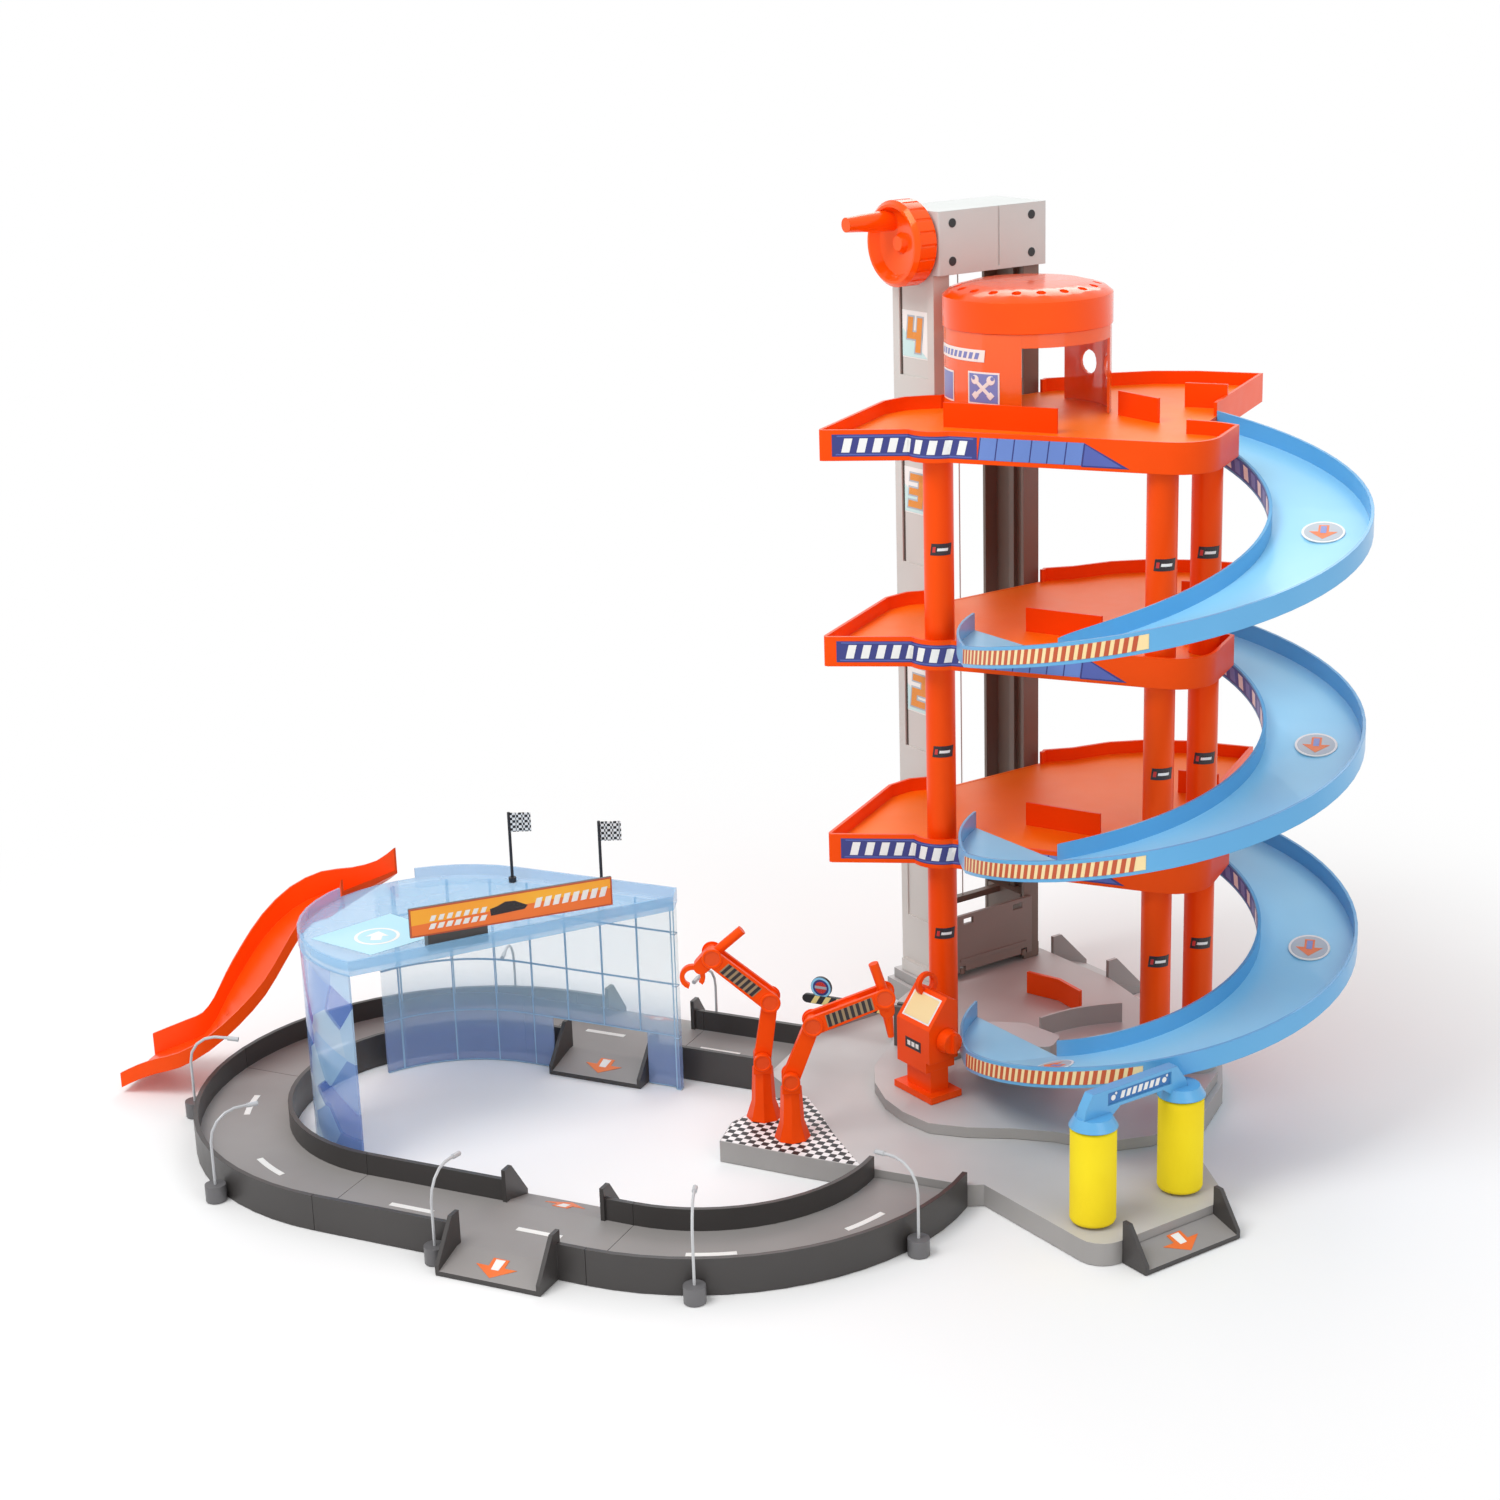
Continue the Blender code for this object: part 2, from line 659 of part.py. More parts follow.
def post(side):
    """A lift post: an E-section channel with recessed window panels in its outer wall."""
    low, high = PLATFORM_Z + GAP, HOUSING_Z - GAP
    rib = 0.003
    middle = TOWER_D / 2
    section = [
        (0, 0),
        (POST_W, 0),
        (POST_W, POST_T),
        (POST_T, POST_T),
        (POST_T, middle - rib),
        (POST_W * 0.45, middle - rib),
        (POST_W * 0.45, middle + rib),
        (POST_T, middle + rib),
        (POST_T, TOWER_D - POST_T),
        (POST_W, TOWER_D - POST_T),
        (POST_W, TOWER_D),
        (0, TOWER_D),
    ]
    if side == "right":
        section = [(TOWER_W - x, y) for x, y in section]
    channel = slab(f"post_{side}_section", section, low, high, TOWER)
    face = -0.001 if side == "left" else TOWER_W - 0.0012
    windows = [(DECKS[2] + 0.010, DECKS[2] + 0.078)]
    windows += [(deck + 0.014, deck + 0.112) for deck in DECKS[:2]]
    windows += [(FLOOR_1 - STOREY + 0.020, FLOOR_1 - 0.040)]
    for number, (bottom, top) in enumerate(windows):
        cut(channel, box(f"window_{side}_{number}", (face, 0.008, bottom), (face + 0.0022, TOWER_D - 0.008, top), TOWER))
    foot_low = -0.004 if side == "left" else TOWER_W - 0.0025
    foot = box(f"foot_{side}", (foot_low, 0.004, low), (foot_low + 0.0065, TOWER_D - 0.004, low + 0.010), TOWER)
    join(channel, foot)
    return part(channel, f"lift_post_{side}", WARM_GREY)


def housing():
    """The winch housing on top of both posts: an open-bottomed shell with screw wells and shaft bearings."""
    left, right = -HOUSING_OUT, TOWER_W + HOUSING_OUT
    front, back = -HOUSING_FRONT, TOWER_D + HOUSING_BACK
    top = HOUSING_Z + HOUSING_H
    outline = rounded([(left, front), (right, front), (right, back), (left, back)], 0.002, 2)
    shell = slab("housing_block", outline, HOUSING_Z, top, TOWER)
    thick = WALL + 0.001
    hollow_low = (left + thick, front + thick, HOUSING_Z - 0.01)
    cut(shell, box("housing_hollow", hollow_low, (right - thick, back - thick, top - thick), TOWER))
    shaft_z = housing_shaft_z()
    for x in (0.012, TOWER_W - 0.014):
        for z in (HOUSING_Z + 0.010, top - 0.009):
            cut(shell, rod("screw_well", (x, front - 0.001, z), (x, front + 0.0018, z), 0.0022, TOWER, 16))
    cut(shell, box("seam", (TOWER_W - 0.0465, front - 0.001, HOUSING_Z + 0.003), (TOWER_W - 0.0450, front + 0.0008, top + 0.001), TOWER))
    cut(shell, rod("bearing_left", (left - 0.01, CRANK_Y, shaft_z), (left + 0.01, CRANK_Y, shaft_z), SHAFT_R + GAP, TOWER))
    cut(shell, rod("bearing_right", (right - 0.004, CRANK_Y, shaft_z), (right - 0.0012, CRANK_Y, shaft_z), SHAFT_R + GAP, TOWER))
    return part(shell, "winch_housing", WARM_GREY)


def housing_shaft_z():
    return HOUSING_Z + 0.0233


def crank():
    """The ribbed hand wheel with its tapered peg, and the shaft with the cord spool inside the housing."""
    z = housing_shaft_z()
    near = -HOUSING_OUT - 0.0012
    far = near - CRANK_T
    pivot = (near, CRANK_Y, z)
    profile = [
        (0, 0),
        (CRANK_R - 0.002, 0),
        (CRANK_R, 0.002),
        (CRANK_R, CRANK_T - 0.003),
        (CRANK_R - 0.003, CRANK_T),
        (CRANK_R - 0.005, CRANK_T),
        (CRANK_R - 0.009, CRANK_T - 0.007),
        (0.008, CRANK_T - 0.010),
        (0.0055, CRANK_T - 0.006),
        (0, CRANK_T - 0.006),
    ]
    wheel = turned("crank_disc", profile[::-1], 40, None)
    notches = 20
    for i in range(notches):
        angle = 2 * math.pi * i / notches
        x, y = math.cos(angle) * (CRANK_R + 0.0004), math.sin(angle) * (CRANK_R + 0.0004)
        cut(wheel, rod("notch", (x, y, 0.002), (x, y, CRANK_T - 0.004), 0.0014, None, 6))
    peg_at = (PEG_OFFSET[1], PEG_OFFSET[0])
    peg = rod("peg", (*peg_at, CRANK_T - 0.012), (*peg_at, CRANK_T + PEG_LONG), 0.0085, None, 20, 0.0055)
    join(wheel, peg)
    cut(wheel, rod("crank_bore", (0, 0, -0.01), (0, 0, CRANK_T - 0.013), SHAFT_R + GAP, None, 16))
    lay = Matrix.Translation(pivot) @ Matrix.Rotation(math.radians(-90), 4, "Y")
    graph = bpy.context.evaluated_depsgraph_get()
    data = bmesh.new()
    data.from_mesh(bpy.data.meshes.new_from_object(wheel.evaluated_get(graph)))
    bmesh.ops.transform(data, matrix=lay, verts=data.verts)
    finished = from_bmesh("crank_finished", data, TOWER)
    part(finished, "crank_wheel", ORANGE, pivot)

    left_end = far + 0.0135
    shaft = rod("shaft", (left_end, CRANK_Y, z), (TOWER_W + HOUSING_OUT - 0.0016, CRANK_Y, z), SHAFT_R, TOWER, 16)
    middle = TOWER_W / 2
    join(shaft, rod("spool", (middle - 0.005, CRANK_Y, z), (middle + 0.005, CRANK_Y, z), SPOOL_R, TOWER))
    for x in (middle - 0.0065, middle + 0.0045):
        join(shaft, rod("flange", (x, CRANK_Y, z), (x + 0.002, CRANK_Y, z), SPOOL_R + 0.004, TOWER))
    return part(shaft, "winch_shaft", WARM_GREY, pivot)


def lift_low():
    return PLATFORM_Z + 0.006


def lift_cage():
    """The carriage between the posts: floor, side plates with guide grooves, and the bar that the cord holds."""
    low = lift_low()
    inner = POST_W * 0.45 + 0.0012
    left, right = POST_T + 0.0012, TOWER_W - POST_T - 0.0012
    front, back = POST_T + 0.0012, TOWER_D - POST_T - 0.0012
    middle = TOWER_D / 2
    rib = 0.003 + 0.0012
    side = [
        (left, front),
        (left + 0.011, front),
        (left + 0.011, back),
        (left, back),
        (left, middle + rib),
        (inner, middle + rib),
        (inner, middle - rib),
        (left, middle - rib),
    ]
    frame = slab("cage_left", side, low, low + CAGE_H, TOWER)
    mirrored = [(TOWER_W - x, y) for x, y in side]
    join(frame, slab("cage_right", mirrored, low, low + CAGE_H, TOWER))
    join(frame, box("cage_floor", (left + 0.009, front, low), (right - 0.009, back, low + CAGE_FLOOR_T), TOWER))
    bar_low = low + CAGE_H - 0.005
    bar_y = CRANK_Y + SPOOL_R
    join(frame, box("cage_bar", (left + 0.009, bar_y - 0.003, bar_low), (right - 0.009, bar_y + 0.003, low + CAGE_H), TOWER))
    for x in (POST_W + 0.0018, TOWER_W - POST_W - 0.0018 - 0.004):
        ear = box("flap_ear", (x, -0.0045, low), (x + 0.004, front + 0.001, low + 0.005), TOWER)
        join(frame, ear)
    return part(frame, "lift_cage", DARK_GREY)


def flap_pivot():
    return (TOWER_W / 2, -0.0028, lift_low() + 0.0034)


def lift_flap():
    """The dark front flap of the carriage, folded up at rest, with two hooks at its top."""
    x, y, z = flap_pivot()
    low = lift_low()
    front, back = y - FLAP_T / 2, y + FLAP_T / 2
    left, right = 0.0165, TOWER_W - 0.0165
    panel = box("flap_panel", (FLAP_SIDE, front, low + 0.0018), (TOWER_W - FLAP_SIDE, back, low + FLAP_H), TOWER)
    for edge in (left - 0.0005, right - 0.0052):
        cut(panel, box("ear_notch", (edge, front - 0.01, low - 0.01), (edge + 0.0062, back + 0.01, low + 0.0065), TOWER))
    for edge in (left + 0.004, right - 0.014):
        cut(panel, box("hook_notch", (edge, front - 0.01, low + FLAP_H - 0.008), (edge + 0.010, back + 0.01, low + FLAP_H - 0.003), TOWER))
    ledge = box("flap_ledge", (left, front - 0.0008, low + 0.010), (right, front + 0.0005, low + 0.013), TOWER)
    join(panel, ledge)
    return part(panel, "lift_flap", DARK_GREY, (x, y, z))


def lift_cord():
    """The winch cord, taut between the spool and the carriage bar."""
    y = CRANK_Y + SPOOL_R + CORD_R + GAP
    top = housing_shaft_z()
    low = lift_low() + CAGE_H + GAP
    places = [(TOWER_W / 2, y, top), (TOWER_W / 2, y, (top + low) / 2), (TOWER_W / 2, y, low)]
    cord = wire("cord", places, CORD_R, TOWER)
    return part(cord, "lift_cord", CORD_WHITE)


def booth():
    """The round control booth: a wall open to the lift and to the lane, and a bevelled roof cap."""
    centre = in_tower(BOOTH_ALONG, -BOOTH_R - 0.0007)
    low = DECKS[2] - CURB + GAP
    high = low + BOOTH_TALL
    band_low = high - 0.008 - BOOTH_BAND
    back = TOWER_TURN + 90
    wall_profile = [
        (BOOTH_R - 0.001 - BOOTH_WALL, low),
        (BOOTH_R - 0.001, low),
        (BOOTH_R - 0.001, band_low - GAP),
        (BOOTH_R - 0.001 - BOOTH_WALL, band_low - GAP),
    ]
    right = swept("booth_right", wall_profile, centre, 5, back - 68 - 5, 8)
    left = swept("booth_left", wall_profile, centre, back + 55, 285 - back - 55, 8)
    ring = [
        (BOOTH_R - 0.001 - BOOTH_WALL, band_low - 0.010),
        (BOOTH_R - 0.001, band_low - 0.010),
        (BOOTH_R - 0.001, band_low - GAP),
        (BOOTH_R - 0.001 - BOOTH_WALL, band_low - GAP),
    ]
    lintel = swept("booth_lintel", ring, centre, -76, 82, 8)
    rear_lintel = swept("booth_rear_lintel", ring, centre, back - 69, 125, 12)
    join(right, lintel, left, rear_lintel)
    for angle in (28, 58):
        place = arc(centre, BOOTH_R, angle, angle, 1)[0]
        outward = arc(centre, BOOTH_R + 0.02, angle, angle, 1)[0]
        inward = arc(centre, BOOTH_R - 0.02, angle, angle, 1)[0]
        middle = low + 0.030
        cut(right, rod("window_arch", (*inward, middle), (*outward, middle), 0.009, None, 16))
    part(right, "booth_wall", CLEAR_ORANGE)

    dome = [
        (0, high),
        (BOOTH_R - 0.020, high),
        (BOOTH_R - 0.005, high - 0.004),
        (BOOTH_R, high - 0.008),
        (BOOTH_R, band_low),
        (BOOTH_R - WALL - 0.001, band_low),
        (BOOTH_R - WALL - 0.001, high - 0.011),
        (BOOTH_R - 0.022, high - WALL - 0.001),
        (0, high - WALL - 0.001),
    ]
    roof = turned("booth_dome", dome, 48, None, (*centre, 0))
    for i in range(18):
        angle = 360 * i / 18
        x, y = arc(centre, BOOTH_R - 0.012, angle, angle, 1)[0]
        cut(roof, rod("dent", (x, y, high - 0.0035), (x, y, high + 0.01), 0.0035, None, 10))
    return part(roof, "booth_roof", ORANGE)


def road_profile():
    return [
        (ROAD_IN, 0),
        (ROAD_OUT, 0),
        (ROAD_OUT, ROAD_RIM),
        (ROAD_OUT - ROAD_WALL, ROAD_RIM),
        (ROAD_OUT - ROAD_WALL, ROAD_T),
        (ROAD_IN + ROAD_WALL, ROAD_T),
        (ROAD_IN + ROAD_WALL, ROAD_RIM),
        (ROAD_IN, ROAD_RIM),
    ]


def road_curve(name, centre, start, turn, steps):
    trim = math.degrees(GAP / 2 / ROAD_IN)
    piece = swept(name + "_sweep", road_profile(), centre, start + trim, turn - 2 * trim, steps)
    return part(piece, name, ROAD_GREY)


def road_straight(name, low_x, high_x, side):
    """A straight length; side is 1 for the back of the loop and -1 for the front."""
    middle = LOOP_LEFT[1]
    outline = [(side * radius, height) for radius, height in road_profile()]
    piece = slab(name + "_section", outline, low_x + GAP / 2, high_x - GAP / 2)
    stand = Matrix(((0, 0, 1, 0), (1, 0, 0, middle), (0, 1, 0, 0), (0, 0, 0, 1)))
    piece.data.transform(stand)
    return piece


def exit_ramp(name, x, side, edge, out):
    """A sloped exit through a kerb, between two fins; side says which way along Y it leads."""
    half = EXIT_W / 2
    start = edge - side * ROAD_WALL * 1.5
    end = edge + side * out
    low, high = sorted((start, end))
    slope = box(name + "_slope", (x - half, low, 0), (x + half, high, ROAD_T))
    wedge_side = [(end + side * 0.001, 0.003), (end + side * 0.001, 0.02), (edge, 0.02), (edge, ROAD_T)]
    wedge = side_wedge(name + "_wedge", wedge_side, x - half - 0.001, x + half + 0.001)
    cut(slope, wedge)
    fin = [(start, 0), (end, 0), (end, 0.007), (edge + side * 0.004, ROAD_RIM + 0.008), (start, ROAD_RIM + 0.008)]
    for fin_x in (x - half - 0.0005, x + half - 0.0025):
        join(slope, side_wedge(name + "_fin", fin, fin_x, fin_x + 0.003))
    return slope


def side_wedge(name, outline, near, far):
    """A side outline in Y and Z, extruded along X."""
    made = slab(name, outline, near, far)
    stand = Matrix(((0, 0, 1, 0), (1, 0, 0, 0), (0, 1, 0, 0), (0, 0, 0, 1)))
    made.data.transform(stand)
    return made


def tee(name, low_x, high_x, side, x):
    middle = LOOP_LEFT[1]
    piece = road_straight(name, low_x, high_x, side)
    half = EXIT_W / 2
    for radius, way in ((ROAD_OUT, side), (ROAD_IN, -side)):
        edge = middle + side * radius
        low, high = sorted((edge + way * 0.01, edge - way * (ROAD_WALL + 0.001)))
        cut(piece, box(name + "_gap", (x - half + 0.002, low, ROAD_T), (x + half - 0.002, high, ROAD_RIM + 0.01)))
        out = SHOW_EXIT_OUT if way == -1 and side == 1 else EXIT_OUT
        join(piece, exit_ramp(f"{name}_{way}", x, way, edge, out))
    return part(piece, name, ROAD_GREY)


def road():
    road_curve("road_curve_left_rear", LOOP_LEFT, 90, 90, 16)
    road_curve("road_curve_left_front", LOOP_LEFT, 180, 90, 16)
    road_curve("road_curve_right_front", LOOP_RIGHT, -90, 90, 16)
    tee("road_front_exit", LOOP_LEFT[0], LOOP_RIGHT[0], -1, FRONT_EXIT_X)
    tee("road_back_exit", LOOP_LEFT[0], TEE_BACK_X, 1, BACK_EXIT_X)
    straight = road_straight("road_back_straight_block", TEE_BACK_X, PLATE_LEFT_X, 1)
    part(straight, "road_back_straight", ROAD_GREY)


def lamp(number, foot, heading):
    """A street lamp: round foot beside the kerb, thin pole and an arm that bows over the road."""
    x, y = foot
    foot_h = 0.012
    base = rod(f"lamp_{number}_foot", (x, y, 0), (x, y, foot_h), LAMP_FOOT_R, None, 16)
    bow = 0.020
    away = Vector((math.cos(math.radians(heading)), math.sin(math.radians(heading))))
    places = [(x, y, foot_h - 0.003), (x, y, (foot_h + LAMP_H - bow) / 2), (x, y, LAMP_H - bow)]
    for i in range(1, 5):
        angle = math.radians(90 * i / 4)
        reach = bow * (1 - math.cos(angle))
        places.append((x + away.x * reach, y + away.y * reach, LAMP_H - bow + bow * math.sin(angle)))
    end = Vector((x, y)) + away * LAMP_REACH
    places.append((end.x, end.y, LAMP_H - 0.001))
    pole = wire(f"lamp_{number}_pole", places, LAMP_R, None, 1)
    tip = Vector((x, y)) + away * (LAMP_REACH + 0.006)
    head = rod(f"lamp_{number}_head", (end.x - away.x * 0.002, end.y - away.y * 0.002, LAMP_H - 0.001), (tip.x, tip.y, LAMP_H - 0.002), 0.0018, None, 8)
    join(base, pole, head)
    return part(base, f"lamp_{number}", SILVER)


def lamps():
    outside = ROAD_OUT + LAMP_FOOT_R + GAP
    places = []
    for angle in (200, 243, 107):
        places.append((arc(LOOP_LEFT, outside, angle, angle, 1)[0], angle + 180))
    front = LOOP_LEFT[1] - outside
    back = LOOP_LEFT[1] + outside
    places.append(((FRONT_EXIT_X - EXIT_W / 2 - 0.010, front), 90))
    for angle in (-68, -22):
        places.append((arc(LOOP_RIGHT, outside, angle, angle, 1)[0], angle + 180))
    places.append(((TEE_BACK_X + 0.006, back), -90))
    for number, (foot, heading) in enumerate(places, 1):
        lamp(number, foot, heading)


def roof_outline():
    right = (-0.182, LOOP_LEFT[1] + SHOW_R)
    return [
        *arc(LOOP_LEFT, SHOW_R, 262, 90, 20),
        right,
        (right[0] + 0.006, right[1] - 0.018),
    ]


def showroom():
    """The clear blue showroom inside the loop: kerbed roof, curved corner pane and a long back pane."""
    top = SHOW_ROOF_Z
    outline = roof_outline()
    roof = slab("show_roof", outline, top - SHOW_ROOF_T, top + SHOW_CURB)
    cut(roof, slab("show_roof_pocket", inset(outline, SHOW_GLASS_T), top, top + 0.03))
    gate = SLIDE_W / 2 + 0.0035
    slide_gate = box("slide_gate", (0.085, -gate, top + 0.0001), (SHOW_R + 0.01, gate, top + 0.03), None, SLIDE_TURN)
    slide_gate.data.transform(Matrix.Translation((*LOOP_LEFT, 0)))
    cut(roof, slide_gate)
    part(roof, "showroom_roof", CLEAR_BLUE)

    low, high = GAP * 0, top - SHOW_ROOF_T - GAP
    out, inside = SHOW_R - 0.001, SHOW_R - 0.001 - SHOW_GLASS_T
    pane = [(inside, low), (out, low), (out, high), (inside, high)]
    left = swept("left_pane", pane, LOOP_LEFT, 205, 56, 12)
    part(left, "showroom_corner_pane", CLEAR_BLUE)
    back = swept("back_pane", pane, LOOP_LEFT, 90, 62, 12)
    y = LOOP_LEFT[1]
    trim = 0.0002
    long = box("back_pane_long", (LOOP_LEFT[0] - 0.002, y + inside + trim, low + trim), (-0.184, y + out - trim, high - trim))
    post_box = box("end_post", (-0.1865, y + inside - 0.003, low), (-0.1825, y + out, high))
    join(back, long, post_box)
    door = EXIT_W / 2 + 0.002
    cut(back, box("doorway", (BACK_EXIT_X - door, y + inside - 0.01, -0.01), (BACK_EXIT_X + door, y + out + 0.01, DOOR_H)))
    part(back, "showroom_back_pane", CLEAR_BLUE)

    board_turn = 46.3
    at = (-0.2583, -0.1894)
    half_board = 0.0754
    low = top + GAP
    foot = box("sign_foot", (at[0] - 0.062, at[1] - 0.001, low), (at[0] - 0.018, at[1] + 0.010, low + 0.018), None, board_turn, (*at, 0))
    board = box("sign_panel", (at[0] - half_board, at[1] - 0.0045, low + 0.0135), (at[0] + half_board, at[1] - 0.002, low + 0.035), None, board_turn, (*at, 0))
    join(foot, box("sign_stay", (at[0] - 0.050, at[1] - 0.004, low + 0.0125), (at[0] - 0.030, at[1] + 0.004, low + 0.0175), None, board_turn, (*at, 0)), board)
    part(foot, "showroom_sign", DARK_GREY)
    for number, (x, inside) in enumerate(((-0.3155, 0.0120), (-0.2410, 0.0075)), 1):
        y = LOOP_LEFT[1] + SHOW_R - inside
        pole = rod(f"flag_{number}_pole", (x, y, top + GAP), (x, y, top + 0.056), 0.0012, None, 8)
        seat = rod(f"flag_{number}_seat", (x, y, top + GAP), (x, y, top + 0.004), 0.003, None, 12)
        cloth = box(f"flag_{number}_cloth", (x - 0.0005, y - 0.0005, top + 0.0405), (x + 0.0165, y + 0.0005, top + 0.0555), None, 25, (x, y, 0))
        join(pole, seat, cloth)
        part(pole, f"flag_{number}", BLACK)


def slide():
    """The wavy orange slide from the showroom roof, swinging over the road and down to the ground."""
    half = SLIDE_W / 2
    rim = SLIDE_T + SLIDE_KERB
    bank = SLIDE_T + SLIDE_BANK
    wall = SLIDE_T - 0.001
    shape = [(-half, 0), (half, 0), (half, rim), (half - wall, rim)]
    shape += [(half - wall, SLIDE_T), (wall - half, SLIDE_T), (wall - half, bank), (-half, bank)]
    start = arc(LOOP_LEFT, SHOW_R + SLIDE_OUT, SLIDE_TURN, SLIDE_TURN, 1)[0]
    path = [(start[0] + x, start[1] + y, z, heading) for x, y, z, heading in SLIDE_PATH]
    stations = []
    last = len(path) - 1
    for i in range(last):
        before, here, after, beyond = (path[min(max(i + k, 0), last)] for k in (-1, 0, 1, 2))
        for t in (0, 0.5):
            point = []
            for p0, p1, p2, p3 in zip(before, here, after, beyond):
                bend = (2 * p0 - 5 * p1 + 4 * p2 - p3) * t * t + (3 * p1 - p0 - 3 * p2 + p3) * t * t * t
                point.append(p1 + 0.5 * ((p2 - p0) * t + bend))
            stations.append(point)
    stations.append(path[-1])
    rings = []
    for x, y, z, heading in stations:
        across = Vector((-math.sin(math.radians(heading)), math.cos(math.radians(heading))))
        rings.append([(x + across.x * v, y + across.y * v, z + lift) for v, lift in shape])
    bed = lofted("slide_bed", rings, None)
    part(bed, "slide", ORANGE)


def wash():
    """Two foam rollers on pins, the arch that caps them and the sloped exit tray."""
    low = PLATE_T + 0.002
    for name, across in (("front", -ROLLER_SPACING / 2), ("rear", ROLLER_SPACING / 2)):
        profile = [
            (0, low + ROLLER_H),
            (ROLLER_R - 0.001, low + ROLLER_H),
            (ROLLER_R, low + ROLLER_H - 0.001),
            (ROLLER_R, low + 0.001),
            (ROLLER_R - 0.001, low),
            (0, low),
        ]
        roller = turned(f"roller_{name}_foam", profile, 32, WASH, (across, 0, 0))
        cut(roller, rod("pin_bore", (across, 0, low - 0.01), (across, 0, low + ROLLER_H + 0.01), PIN_R + GAP, WASH, 16))
        part(roller, f"wash_roller_{name}", YELLOW_FOAM)

    top = low + ROLLER_H + 0.001
    cap = top + CAP_H
    half = ROLLER_SPACING / 2
    arch_side = [
        (-half - 0.012, cap - 0.004),
        (-half - 0.010, cap + 0.006),
        (-half - 0.004, cap + ARCH_H),
        (half - 0.008, cap + ARCH_H),
        (half, cap + 0.005),
        (half + 0.003, cap - 0.004),
        (half - 0.012, cap - 0.004),
        (half - 0.020, cap + 0.002),
        (-half + 0.020, cap + 0.002),
        (-half + 0.012, cap - 0.004),
    ]
    arch = side_slab("arch_beam", arch_side, -0.004, 0.004, WASH)
    cut(arch, box("arch_panel", (-0.030, -0.006, cap + 0.0045), (0.026, -0.0028, cap + ARCH_H - 0.0025), WASH))
    for across in (-half, half):
        disc = rod("arch_disc", (across, 0, top), (across, 0, cap - 0.0006), ROLLER_R + 0.001, WASH, 32, ROLLER_R - 0.003)
        pin_end = PLATE_T - PIN_DEPTH + GAP
        pin = rod("arch_pin", (across, 0, pin_end), (across, 0, top + 0.004), PIN_R, WASH, 16)
        join(arch, disc, pin)
    part(arch, "wash_arch", SKY_BLUE)

    start, far = -0.0325, -0.055
    half = 0.042
    tray = box("tray_block", (-half, far, 0), (half, start, 0.012), WASH)
    slope = slab("tray_slope", [(far - 0.001, 0.003), (far - 0.001, 0.03), (start + 0.001, 0.03), (start + 0.001, 0.010)], -half - 0.01, half + 0.01)
    slope.data.transform(Matrix(((0, 0, 1, 0), (1, 0, 0, 0), (0, 1, 0, 0), (0, 0, 0, 1))))
    slope.parent = WASH
    cut(tray, slope)
    fin = [(start, 0), (far, 0), (far, 0.006), (start - 0.006, 0.030), (start, 0.030)]
    for x in (-half, half - 0.003):
        wall = slab("tray_fin", fin, x, x + 0.003)
        wall.data.transform(Matrix(((0, 0, 1, 0), (1, 0, 0, 0), (0, 1, 0, 0), (0, 0, 0, 1))))
        wall.parent = WASH
        join(tray, wall)
    part(tray, "wash_exit_tray", DARK_GREY)


def limb(name, start, end, radius, thick, frame):
    """A flat arm with round ends, between two pivots in the frame's XZ plane."""
    start, end = Vector(start), Vector(end)
    way = math.degrees(math.atan2(end.y - start.y, end.x - start.x))
    outline = arc(start, radius, way + 90, way + 270, 8) + arc(end, radius * 0.9, way - 90, way + 90, 8)
    return side_slab(name, outline, -thick / 2, thick / 2, frame)


